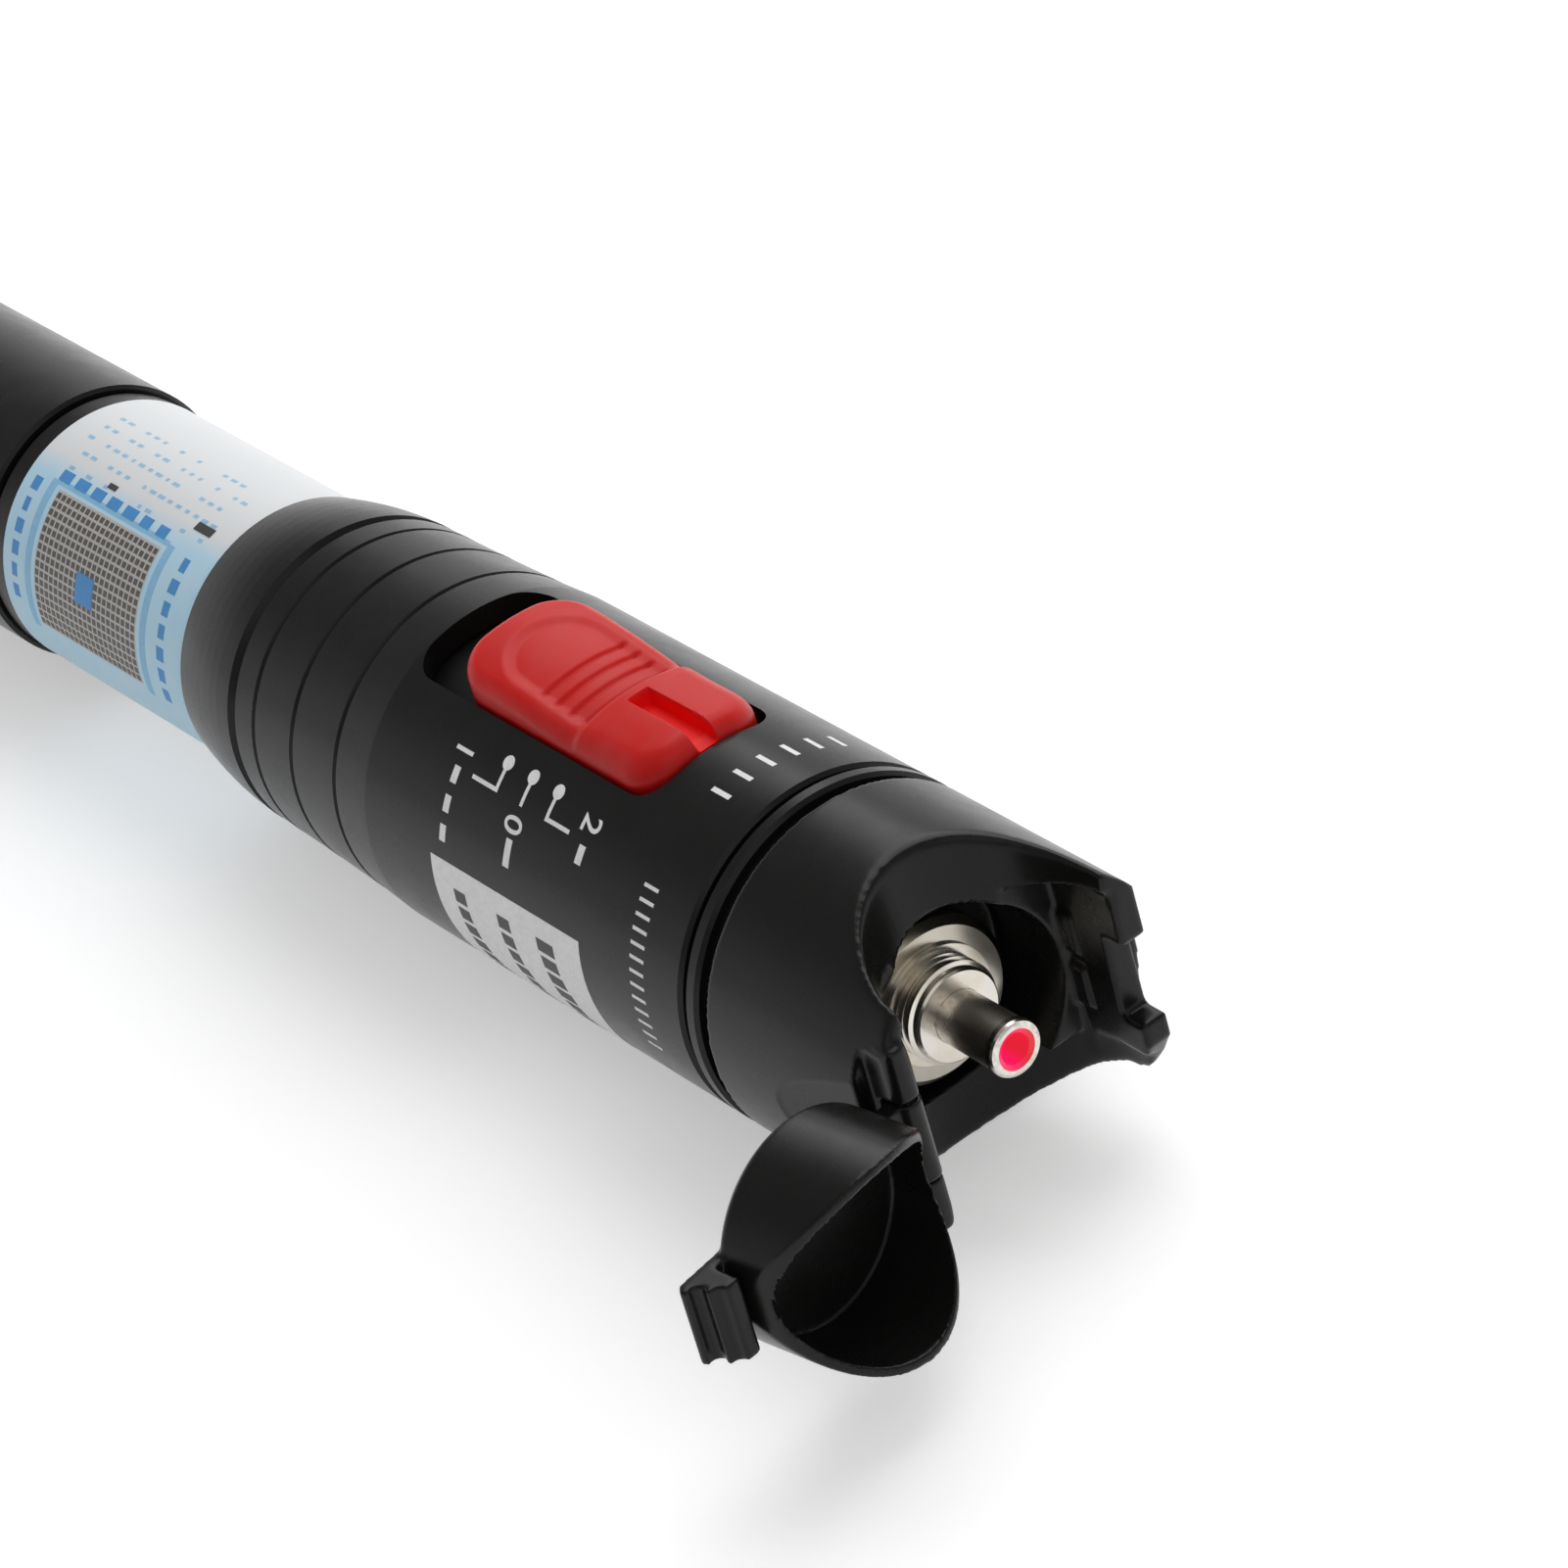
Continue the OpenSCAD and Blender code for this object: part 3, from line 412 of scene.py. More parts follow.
def rubber_finish(name):
    """Matt seal rubber with a fine bloom."""
    material, graph, place = new_material(name)
    bloom = graph.noise(place, 0.25 * MM, 3.0)
    surface(graph, {"Base Color": graph.mix(bloom, (0.012, 0.012, 0.012, 1), (0.03, 0.03, 0.03, 1)),
                    "Roughness": graph.spread(bloom, 0.6, 0.8), "Normal": graph.bump(bloom, 0.3, 0.01 * MM)})
    return material


# Mesh helpers

def linked(name, data):
    """A new object in the scene."""
    thing = bpy.data.objects.new(name, data)
    bpy.context.scene.collection.objects.link(thing)
    return thing


def new_piece(name, mesh, body, finish, replaces=()):
    """Adds a mesh as a piece that rides on a body and takes the finish of the given name."""
    mesh.name = name
    mesh.materials.clear()
    mesh.materials.append(finish_of(finish))
    piece = linked(name, mesh)
    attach(piece, body)
    if replaces:
        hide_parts(*replaces)


def taken(scratch):
    """A scratch object's mesh with its modifiers applied; the object is removed."""
    graph = bpy.context.evaluated_depsgraph_get()
    graph.update()
    mesh = bpy.data.meshes.new_from_object(scratch.evaluated_get(graph), preserve_all_data_layers=True,
                                           depsgraph=graph)
    bpy.data.objects.remove(scratch, do_unlink=True)
    return mesh


def outwards(mesh):
    """The mesh with its faces turned outwards."""
    work = bmesh.new()
    work.from_mesh(mesh)
    bmesh.ops.recalc_face_normals(work, faces=work.faces)
    work.to_mesh(mesh)
    work.free()
    return mesh


def softener(scratch, passes, group=""):
    """A smoothing modifier on a scratch object, for all its points or for a group of them."""
    soften = scratch.modifiers.new("Soften", "SMOOTH")
    soften.factor = 0.5
    soften.iterations = passes
    soften.vertex_group = group


def remeshed(node, voxel, passes):
    """A CAD node's mesh on an even voxel skin, its edges softened."""
    mesh = NODES[node].data.copy()
    mesh.materials.clear()
    if "custom_normal" in mesh.attributes:
        mesh.attributes.remove(mesh.attributes["custom_normal"])
    work = bmesh.new()
    work.from_mesh(mesh)
    bmesh.ops.remove_doubles(work, verts=work.verts, dist=0.001 * MM)
    work.to_mesh(mesh)
    work.free()
    scratch = linked(node + "_work", mesh)
    skin = scratch.modifiers.new("Skin", "REMESH")
    skin.mode = "VOXEL"
    skin.voxel_size = voxel
    skin.use_smooth_shade = True
    softener(scratch, passes)
    return taken(scratch)


def soften_where(mesh, weights, passes):
    """Smooths the points of a mesh by their weights, in ten levels."""
    scratch = linked("soften_work", mesh)
    group = scratch.vertex_groups.new(name="soft")
    for level in range(1, 11):
        chosen = np.nonzero(np.round(weights * 10) == level)[0]
        if len(chosen):
            group.add(chosen.tolist(), level / 10, "REPLACE")
    softener(scratch, passes, group.name)
    return taken(scratch)


def points_of(mesh):
    """The mesh's points as an array."""
    values = np.empty(len(mesh.vertices) * 3, np.float64)
    mesh.vertices.foreach_get("co", values)
    return values.reshape(-1, 3)


def snap_round(mesh, radius, reach, skip):
    """Moves points that lie near a cylinder about the pen's axis onto it, but for a share to skip."""
    points = points_of(mesh)
    around = np.hypot(points[:, 1], points[:, 2])
    off = np.abs(around - radius)
    weight = np.clip((reach - off) / (reach * 0.5), 0, 1) * (1 - skip)
    scale = 1 + weight * (radius / np.maximum(around, 1e-9) - 1)
    points[:, 1] *= scale
    points[:, 2] *= scale
    mesh.vertices.foreach_set("co", points.astype(np.float32).ravel())
    mesh.update()


def eased(value, low, high):
    """From 0 at low to 1 at high, with soft ends."""
    share = np.clip((value - low) / (high - low), 0, 1)
    return share * share * (3 - 2 * share)


# Flat shapes: points run around the pen, along it and up from its surface

def wrapped(name, shapes, radius, x, turn):
    """A mesh from flat shapes, laid on a cylinder about the place x, turn."""
    points, faces = [], []
    for some_points, some_faces in shapes:
        faces += [tuple(len(points) + i for i in face) for face in some_faces]
        points += some_points
    flat = np.asarray(points, float)
    at = turn + flat[:, 0] / radius
    out = radius + flat[:, 2]
    placed = np.stack([x + flat[:, 1], out * np.cos(at), out * np.sin(at)], axis=1)
    mesh = bpy.data.meshes.new(name)
    mesh.from_pydata([tuple(point) for point in placed], [], faces)
    return outwards(mesh)


def strip(start, end, width, thickness):
    """A closed flat strip from start to end, cut often enough to follow a curve."""
    start, along = np.array(start, float), np.array(end, float) - np.array(start, float)
    reach = np.linalg.norm(along)
    side = np.array([-along[1], along[0]]) / reach * width / 2
    cuts = max(2, int(reach / (0.4 * MM)) + 1)
    points = []
    for i in range(cuts):
        middle = start + along * i / (cuts - 1)
        points += [[*(middle + side * sign), height]
                   for sign in (-1, 1) for height in (-thickness, thickness)]
    last = 4 * cuts - 4
    faces = [(0, 1, 3, 2), (last, last + 2, last + 3, last + 1)]
    for i in range(0, last, 4):
        faces += [(i + first, i + second, i + 4 + second, i + 4 + first)
                  for first, second in ((0, 1), (1, 3), (3, 2), (2, 0))]
    return points, faces


def disc(x, y, radius, thickness, sides=32):
    """A closed flat disc."""
    points = [[x, y, -thickness], [x, y, thickness]]
    faces = []
    for i in range(sides):
        turn = 2 * math.pi * i / sides
        at = [x + radius * math.cos(turn), y + radius * math.sin(turn)]
        points += [[*at, -thickness], [*at, thickness]]
        low, next_low = 2 + 2 * i, 2 + 2 * ((i + 1) % sides)
        faces += [(0, next_low, low), (1, low + 1, next_low + 1), (low, next_low, next_low + 1, low + 1)]
    return points, faces


def digit(text, height, x, y, thickness):
    """A plain digit, its top towards +X and its reading direction round the pen, cut into small squares."""
    # A digit's share of the font's size, how much bolder it is drawn, and the squares along its height
    share, bolder, squares = 0.7, 0.012, 8
    curve = bpy.data.curves.new("digit", "FONT")
    curve.body = text
    curve.size = height / share
    curve.align_x = "CENTER"
    curve.extrude = thickness
    curve.offset = height * bolder
    curve.resolution_u = 6
    mesh = taken(linked("digit_work", curve))
    work = bmesh.new()
    work.from_mesh(mesh)
    bmesh.ops.remove_doubles(work, verts=work.verts, dist=0.0001 * MM)
    step = height / squares
    for axis in (0, 1):
        places = [point.co[axis] for point in work.verts]
        cut, high = min(places) + step, max(places)
        while cut < high:
            at, normal = Vector((0, 0, 0)), Vector((0, 0, 0))
            at[axis], normal[axis] = cut, 1
            bmesh.ops.bisect_plane(work, geom=work.verts[:] + work.edges[:] + work.faces[:], plane_co=at,
                                   plane_no=normal)
            cut += step
    points = [[point.co.x + x, point.co.y - height / 2 + y, point.co.z] for point in work.verts]
    faces = [tuple(point.index for point in face.verts) for face in work.faces]
    work.free()
    bpy.data.meshes.remove(mesh)
    return points, faces


# Geometry Nodes

def plate_tree():
    """Rows of small plates, laid flat, wrapped round the pen, some left out or shortened at random."""
    tree = bpy.data.node_groups.new("Printed plates", "GeometryNodeTree")
    tree.interface.new_socket("Geometry", in_out="OUTPUT", socket_type="NodeSocketGeometry")
    sockets = {
        "Int": {"Columns": 1, "Rows": 1, "Cuts Along": 2, "Cuts Around": 2, "Seed": 1},
        "Float": {"Column Pitch": MM, "Row Pitch": MM, "Plate Length": 0.5 * MM, "Plate Width": 0.5 * MM,
                  "Shortest": 1.0, "Kept": 1.0, "Thickness": 0.02 * MM, "Radius": 14 * MM,
                  "Middle X": 0.0, "Middle Angle": 0.0}}
    for kind, defaults in sockets.items():
        for name, value in defaults.items():
            socket = tree.interface.new_socket(name, in_out="INPUT", socket_type="NodeSocket" + kind)
            socket.default_value = value
    tree.interface.new_socket("Material", in_out="INPUT", socket_type="NodeSocketMaterial")
    graph = Graph(tree)
    given = graph.add("NodeGroupInput").outputs
    spans = [graph.maths("MULTIPLY", given[pitch], graph.maths("SUBTRACT", given[lines], 1.0))
             for pitch, lines in (("Column Pitch", "Columns"), ("Row Pitch", "Rows"))]
    points = graph.add("GeometryNodeMeshGrid", {
        "Size X": spans[0], "Size Y": spans[1], "Vertices X": given["Columns"], "Vertices Y": given["Rows"]})
    size = graph.add("ShaderNodeCombineXYZ", {0: given["Plate Length"], 1: given["Plate Width"],
                                              2: given["Thickness"]})
    plate = graph.add("GeometryNodeMeshCube", {"Size": size.outputs[0], "Vertices X": given["Cuts Along"],
                                               "Vertices Y": given["Cuts Around"], "Vertices Z": 2})
    pick = graph.add("FunctionNodeRandomValue", {"Probability": given["Kept"], "Seed": given["Seed"]},
                     data_type="BOOLEAN")
    next_seed = graph.maths("ADD", given["Seed"], 7.0)
    stretch = graph.add("FunctionNodeRandomValue", {2: given["Shortest"], 3: 1.0, "Seed": next_seed},
                        data_type="FLOAT")
    scale = graph.add("ShaderNodeCombineXYZ", {0: stretch.outputs[1], 1: 1.0, 2: 1.0})
    placed = graph.add("GeometryNodeInstanceOnPoints", {
        "Points": points.outputs["Mesh"], "Selection": pick.outputs[3], "Instance": plate.outputs["Mesh"],
        "Scale": scale.outputs[0]})
    real = graph.add("GeometryNodeRealizeInstances", {"Geometry": placed.outputs[0]})
    x, y, z = graph.split(graph.add("GeometryNodeInputPosition").outputs[0])
    turn = graph.maths("ADD", given["Middle Angle"], graph.maths("DIVIDE", y, given["Radius"]))
    out = graph.maths("ADD", given["Radius"], z)
    at = graph.add("ShaderNodeCombineXYZ", {
        0: graph.maths("ADD", given["Middle X"], x),
        1: graph.maths("MULTIPLY", out, graph.maths("COSINE", turn)),
        2: graph.maths("MULTIPLY", out, graph.maths("SINE", turn))})
    bent = graph.add("GeometryNodeSetPosition", {"Geometry": real.outputs[0], "Position": at.outputs[0]})
    done = graph.add("GeometryNodeSetMaterial", {"Geometry": bent.outputs[0], "Material": given["Material"]})
    graph.add("NodeGroupOutput", {"Geometry": done.outputs[0]})
    return tree


def grown(tree, values):
    """The mesh that a Geometry Nodes tree gives with these values."""
    scratch = linked("plates_work", bpy.data.meshes.new("plates_work"))
    modifier = scratch.modifiers.new("Plates", "NODES")
    modifier.node_group = tree
    for item in tree.interface.items_tree:
        if item.name in values:
            modifier[item.identifier] = values[item.name]
    return outwards(taken(scratch))


def plates(x, turn, size, count=(1, 1), pitch=(1, 1), cuts=(2, 2), **others):
    """Rows of plates about x mm and turn degrees; pairs are along and around, sizes and pitches in mm."""
    values = {"Middle X": x * MM, "Middle Angle": math.radians(turn),
              "Plate Length": size[0] * MM, "Plate Width": size[1] * MM,
              "Columns": count[0], "Rows": count[1],
              "Column Pitch": pitch[0] * MM, "Row Pitch": pitch[1] * MM,
              "Cuts Along": cuts[0], "Cuts Around": cuts[1]}
    return {**values, **{key.capitalize(): value for key, value in others.items()}}


def printed(tree, radius, thickness, name, slot, finish, *rows):
    """One printed piece from several rows of plates, on a round surface."""
    work = bmesh.new()
    for row in rows:
        mesh = grown(tree, {"Radius": radius, "Thickness": thickness, "Material": finish_of(finish), **row})
        work.from_mesh(mesh)
        bpy.data.meshes.remove(mesh)
    mesh = bpy.data.meshes.new(name)
    work.to_mesh(mesh)
    work.free()
    new_piece(name, mesh, "pen", finish)


# Operators

MATERIALS = {}

FINISHES = {
    "black": "front_body joint_ring head_hood dust_cap board_rails battery_tube tail_barrel",
    "dark": "laser_seat slider_shoe board_chips",
    "red": "slider_button",
    "white": "switch_lever contact_insulator cell_liner",
    "nickel": "port_body",
    "holder": "ferrule_holder",
    "brass": "port_nut laser_housing laser_diode detent_spring",
    "steel": "hinge_pin lens_ring switch_case contact_strip front_contact tail_contact tail_spring",
    "ceramic": "split_sleeve fibre_stub",
    "glass": "focus_lens",
    "board": "circuit_board",
    "paper": "tube_label",
    "cell": "front_cell rear_cell",
    "rubber": "seal_ring",
}


def finish_of(name):
    """A finish made by the finishes operator."""
    if name not in MATERIALS:
        raise RuntimeError("the finishes are made first")
    return MATERIALS[name]


class PEN_OT_finishes(bpy.types.Operator):
    """Make the pen's materials and give every CAD piece its own"""
    bl_idname = "pen.finishes"
    bl_label = "Finishes"

    def execute(self, context):
        look = context.scene.pen_finish
        light = look.glow, look.glow_edge, look.glow_strength
        MATERIALS.update({
            "black": moulded("Black plastic", look.black, look.gloss),
            "dark": moulded("Dark plastic", (0.009, 0.009, 0.0095, 1), 0.5),
            "red": slider_plastic("Red plastic", look.red, look.notch_lit_red, context.scene.pen_slider),
            "white": moulded("White plastic", (0.78, 0.78, 0.75, 1), 0.4, variation=0.04),
            # The port's rear stretch gets painted chamber shade
            "nickel": turned_metal("Plated nickel", look.nickel, (0.62, 0.55, 0.42, 1), 0.2,
                                   chamber_shade=(0.27, 0.24, 0.18, 1)),
            "holder": glowing_holder("Plated holder", (0.74, 0.71, 0.67, 1), (0.58, 0.53, 0.46, 1), 0.24,
                                     *light),
            "brass": turned_metal("Brass", (0.70, 0.52, 0.26, 1), (0.60, 0.42, 0.2, 1), 0.28),
            "steel": turned_metal("Steel", (0.56, 0.57, 0.58, 1), (0.48, 0.48, 0.48, 1), 0.3),
            "ceramic": glowing_ceramic("Lit ceramic", *light),
            "glass": lens_finish("Coated glass"),
            "board": board_finish("Circuit board"),
            "paper": label_paper("Label paper", look.paper, look.paper_blue),
            "cell": cell_finish("Cell sleeve"),
            "rubber": rubber_finish("Seal rubber"),
            "ink": ink("White ink", look.ink),
            "grey_ink": ink("Grey ink", look.grey_ink),
            "blue_ink": ink("Blue ink", look.blue_ink),
            "pale_ink": ink("Pale blue ink", (0.36, 0.60, 0.83, 1)),
            "sky_ink": ink("Sky blue ink", (0.30, 0.60, 0.86, 1)),
            "grid_ink": ink("Warm grey ink", (0.11, 0.10, 0.09, 1)),
            "grid_ground": ink("Pattern ground", (0.60, 0.58, 0.56, 1))})
        bare = set(NODES)
        for finish, names in FINISHES.items():
            for name in names.split():
                bare.remove(name)
                materials = NODES[name].data.materials
                for i in range(len(materials)):
                    materials[i] = MATERIALS[finish]
                if not len(materials):
                    materials.append(MATERIALS[finish])
        if bare:
            raise RuntimeError("no finish for " + ", ".join(sorted(bare)))
        return {"FINISHED"}


class PEN_OT_head(bpy.types.Operator):
    """Replace the head with a copy whose moulded edges are soft"""
    bl_idname = "pen.head"
    bl_label = "Head shell"

    # The two scallops' cones, as in the frame: side, axis, radius at the body's surface, and slope
    scallops = ((1, 2.04 * MM, 10.1 * MM, 1.15 / 5.2), (-1, -0.44 * MM, 10.45 * MM, 0.1 / 5.2))
    # Where the rim's weight begins and over how far it grows: out from the axis, and up from the middle
    rim_from, rim_full = 11.6 * MM, 0.8 * MM
    side_from, side_full = 5.5 * MM, 2 * MM

    def execute(self, context):
        soft = context.scene.pen_soften
        mesh = remeshed("head_hood", soft.head_voxel, soft.head_passes)
        mesh = soften_where(mesh, self.rim_weight(mesh, soft.rim_width), soft.rim_passes)
        skip = np.clip(self.rim_weight(mesh, soft.rim_width) * 2, 0, 1)
        snap_round(mesh, BODY_RADIUS, 0.08 * MM, skip)
        mesh.shade_smooth()
        new_piece("head_shell", mesh, "pen", "black", ("head_hood",))
        return {"FINISHED"}

    def rim_weight(self, mesh, width):
        """One on the open rim of the scallops, falling to nothing at the given width."""
        x, y, z = points_of(mesh).T
        outer = np.clip((np.hypot(y, z) - self.rim_from) / self.rim_full, 0, 1)
        weights = np.zeros(len(x))
        for side, middle, radius, slope in self.scallops:
            height = side * z
            off = np.abs(np.hypot(x - middle, y) - radius - (height - BODY_RADIUS) * slope)
            upper = np.clip((height - self.side_from) / self.side_full, 0, 1)
            weights = np.maximum(weights, np.clip(1.5 - off / width, 0, 1) * upper * outer)
        return weights


class PEN_OT_cap(bpy.types.Operator):
    """Replace the dust cap with a copy whose moulded edges are soft"""
    bl_idname = "pen.cap"
    bl_label = "Dust cap"

    def execute(self, context):
        soft = context.scene.pen_soften
        mesh = remeshed("dust_cap", soft.cap_voxel, soft.cap_passes)
        mesh.shade_smooth()
        new_piece("cap_shell", mesh, "cap", "black", ("dust_cap",))
        return {"FINISHED"}


class PEN_OT_slider(bpy.types.Operator):
    """Build the thumb slider: dish, cross grooves, front block and lengthwise notch"""
    bl_idname = "pen.slider"
    bl_label = "Thumb slider"

    # How far in mm the top lies under its full radius, at shares of its length from the rear
    saddle_places = (0.0, 0.08, 0.2, 0.35, 0.5, 0.57, 0.6, 0.63, 0.68, 0.85, 1.0)
    saddle_depths = (0.04, 0.0, 0.1, 0.42, 0.92, 1.15, 1.12, 0.6, 0.5, 0.46, 0.5)
    # Radii of the top and the underside about the pen's axis
    top_radius, under_radius = 15.92 * MM, 11.76 * MM
    # The front groove's place as a share of the length, and the half width of a groove
    last_groove, groove_half = 0.583, 0.24 * MM
    # Half the run of the notch's walls
    notch_wall = 0.13 * MM
    rows, columns = 300, 150

    def execute(self, context):
        shape = context.scene.pen_slider
        x, y = self.grid(shape.corner)
        top = np.stack([x, y, self.height(shape, x, y)], axis=2).reshape(-1, 3)
        low = np.stack([x, y, np.sqrt(self.under_radius ** 2 - y ** 2)], axis=2).reshape(-1, 3)
        n, m = x.shape
        faces = [(i * m + j, i * m + j + 1, (i + 1) * m + j + 1, (i + 1) * m + j)
                 for i in range(n - 1) for j in range(m - 1)]
        rim = [i * m for i in range(n)] + [(n - 1) * m + j for j in range(1, m)]
        rim += [i * m + m - 1 for i in range(n - 2, -1, -1)] + list(range(m - 2, 0, -1))
        under = {k: len(top) + i for i, k in enumerate(rim)}
        faces += [(k, after, under[after], under[k]) for k, after in zip(rim, rim[1:] + rim[:1])]
        faces += [(under[i * m], under[i * m + m - 1], under[(i + 1) * m + m - 1], under[(i + 1) * m])
                  for i in range(n - 1)]
        faces += [[under[row * m + j] for j in range(m)] for row in (0, n - 1)]
        mesh = bpy.data.meshes.new("thumb_slider")
        mesh.from_pydata([tuple(point) for point in (*top, *low[rim])], [], faces)
        outwards(mesh)
        mesh.shade_smooth()
        mesh.set_sharp_from_angle(angle=math.radians(50))
        new_piece("thumb_slider", mesh, "slider", "red", ("slider_button",))
        return {"FINISHED"}

    def grid(self, corner):
        """Places of the top's points, denser near its ends and sides, with the outline's round corners."""
        dense_ends = (1 - np.cos(np.linspace(0, math.pi, self.rows))) / 2
        share = 0.35 * dense_ends + 0.65 * np.linspace(0, 1, self.rows)
        x = SLIDER_LOW.x + share * (SLIDER_HIGH.x - SLIDER_LOW.x)
        across = np.linspace(-1, 1, self.columns)
        across = 0.75 * across + 0.25 * np.sin(across * math.pi / 2)
        ends = np.maximum(SLIDER_LOW.x + corner - x, x - SLIDER_HIGH.x + corner)
        widths = SLIDER_HIGH.y - corner + np.sqrt(corner ** 2 - np.clip(ends, 0, corner) ** 2)
        return np.repeat(x[:, None], self.columns, axis=1), widths[:, None] * across[None, :]

    def saddle(self, share):
        """Depth of the top's long curve, its corners rounded off."""
        dense = np.linspace(0, 1, 401)
        line = np.interp(dense, self.saddle_places, self.saddle_depths)
        kernel = np.hanning(15) / np.hanning(15).sum()
        line = np.convolve(np.pad(line, 7, "edge"), kernel, "valid")
        return np.interp(share, dense, line) * MM

    def height(self, shape, x, y):
        """Height of the button's top at each point of the grid."""
        x_low, x_high, corner = SLIDER_LOW.x, SLIDER_HIGH.x, shape.corner
        share = (x - x_low) / (x_high - x_low)

        # Saddle, thumb dish and cross grooves
        middle = x_low + shape.dish_inset + shape.dish_radius
        rim = shape.dish_radius - np.hypot(np.minimum(x - middle, 0), y)
        dish = eased(rim, -0.4 * MM, 0.9 * MM) * (1 - eased(share, 0.56, 0.62))
        last = x_low + self.last_groove * (x_high - x_low)
        place = (last - x) / shape.groove_pitch
        nearest = np.clip(np.round(place), 0, shape.groove_count - 1)
        groove = np.exp(-(((place - nearest) * shape.groove_pitch) / self.groove_half) ** 2)
        groove = groove * shape.groove_depth * eased(rim, -0.1 * MM, 0.8 * MM)
        depth = self.saddle(share) + dish * shape.dish_depth + groove
        top = np.sqrt(np.maximum((self.top_radius - depth) ** 2 - y ** 2, 0))

        # Round edge, wider at the front
        end = np.maximum(x_low + corner - x, x - x_high + corner)
        side = np.abs(y) - SLIDER_HIGH.y + corner
        round_off = np.hypot(np.maximum(end, 0), np.maximum(side, 0))
        inside = corner - np.where((end > 0) & (side > 0), round_off, np.maximum(end, side))
        edge = shape.rear_fillet + (shape.front_fillet - shape.rear_fillet) * eased(share, 0.5, 0.75)
        run = np.clip(edge - inside, 0, edge)
        top = top - (edge - np.sqrt(np.maximum(edge ** 2 - run ** 2, 0)))

        # Notch, a little deeper at its open end
        start, half, wall = x_high - shape.notch_length, shape.notch_width / 2, self.notch_wall
        floor = self.top_radius - 0.5 * MM - shape.notch_depth - 0.25 * MM * eased(share, 0.95, 1.0)
        cut = (1 - eased(np.abs(y), half - wall, half + wall)) * eased(x, start - wall, start + 2.5 * wall)
        return top * (1 - cut) + np.minimum(top, floor) * cut


class PEN_OT_print(bpy.types.Operator):
    """Print the position marks, their digits, the white panel and the tick rows on the body"""
    bl_idname = "pen.body_print"
    bl_label = "Body print"

    # Leader lines: which mark, and how far the line runs along the pen after its bend, in mm
    leaders = ((-1, -3.1), (0, 0.0), (1, 2.9))
    bend = 135.2
    # Digits: text, mm from the middle mark along the pen, and degrees round it
    digits = (("1", -8.25, 129.5), ("0", -0.05, 142.0), ("2", 8.1, 129.8))
    # Plain strips beside the digits: mm along the pen, degrees round it, and the degrees that each spans
    strips = ((-8.25, 137.5, 5.5), (-8.25, 147, 5.5), (-8.25, 156.5, 5.5), (-0.05, 151, 9.0),
              (8.1, 139.5, 6.0))
    strip_width = 0.75 * MM
    # Bars on the panel: middle along the pen and length in mm, and the first bar's place in degrees
    bar_columns = ((-49.3, 1.8, 173.4), (-43.6, 1.8, 173.2), (-38.2, 2.3, 172.8))
    bar_pitch = 1.62
    # The column's middle in pitches past the first bar, and the bars' lift in thicknesses of ink
    bar_middle, bar_lift = 3.4, 1.1

    def execute(self, context):
        page = context.scene.pen_print
        mesh = wrapped("position_marks", self.marks(page), BODY_RADIUS, page.mark_x, page.mark_angle)
        new_piece("position_marks", mesh, "pen", "ink")
        panel = plates((page.panel_start + page.panel_end) / 2 / MM,
                       math.degrees(page.panel_low + page.panel_high) / 2,
                       ((page.panel_end - page.panel_start) / MM,
                        (page.panel_high - page.panel_low) * BODY_RADIUS / MM), cuts=(8, 60))
        middle = math.degrees(self.bar_middle * self.bar_pitch * MM / BODY_RADIUS)
        bars = [plates(x, first + middle, (size, 1.15), count=(1, 7), pitch=(1, self.bar_pitch), cuts=(2, 4),
                       shortest=0.75, seed=11 + i, radius=BODY_RADIUS + self.bar_lift * page.thickness)
                for i, (x, size, first) in enumerate(self.bar_columns)]
        ticks = plates(-25.6, 80, (2.1, 0.42), count=(1, 6), pitch=(1, 2.15), cuts=(2, 3))
        scale = plates(-26.2, 164, (1.7, 0.28), count=(1, 13), pitch=(1, 1.1), cuts=(2, 3))
        surface_and_ink = plate_tree(), BODY_RADIUS, 2 * page.thickness
        printed(*surface_and_ink, "print_panel", "white_plastic", "ink", panel)
        printed(*surface_and_ink, "panel_bars", "dark_plastic", "grey_ink", *bars)
        printed(*surface_and_ink, "tick_row", "white_plastic", "ink", ticks)
        printed(*surface_and_ink, "scale_row", "white_plastic", "ink", scale)
        return {"FINISHED"}

    def marks(self, page):
        """The three dots with their leader lines, the digits and the strips beside them."""
        thick, width = page.thickness, page.line_width

        def around(degrees):
            return (math.radians(degrees) - page.mark_angle) * BODY_RADIUS

        shapes = []
        bend = around(self.bend)
        for mark, reach in self.leaders:
            along = mark * page.mark_step
            shapes.append(disc(0, along, page.dot_radius, thick))
            shapes.append(strip((0, along), (bend + width / 2, along), width, thick))
            if reach:
                shapes.append(strip((bend, along), (bend, along + reach * MM), width, thick * 0.9))
        for text, along, turn in self.digits:
            shapes.append(digit(text, page.digit_height, around(turn), along * MM, thick))
        for along, turn, span in self.strips:
            ends = [(around(turn + half), along * MM) for half in (-span / 2, span / 2)]
            shapes.append(strip(*ends, self.strip_width, thick))
        return shapes


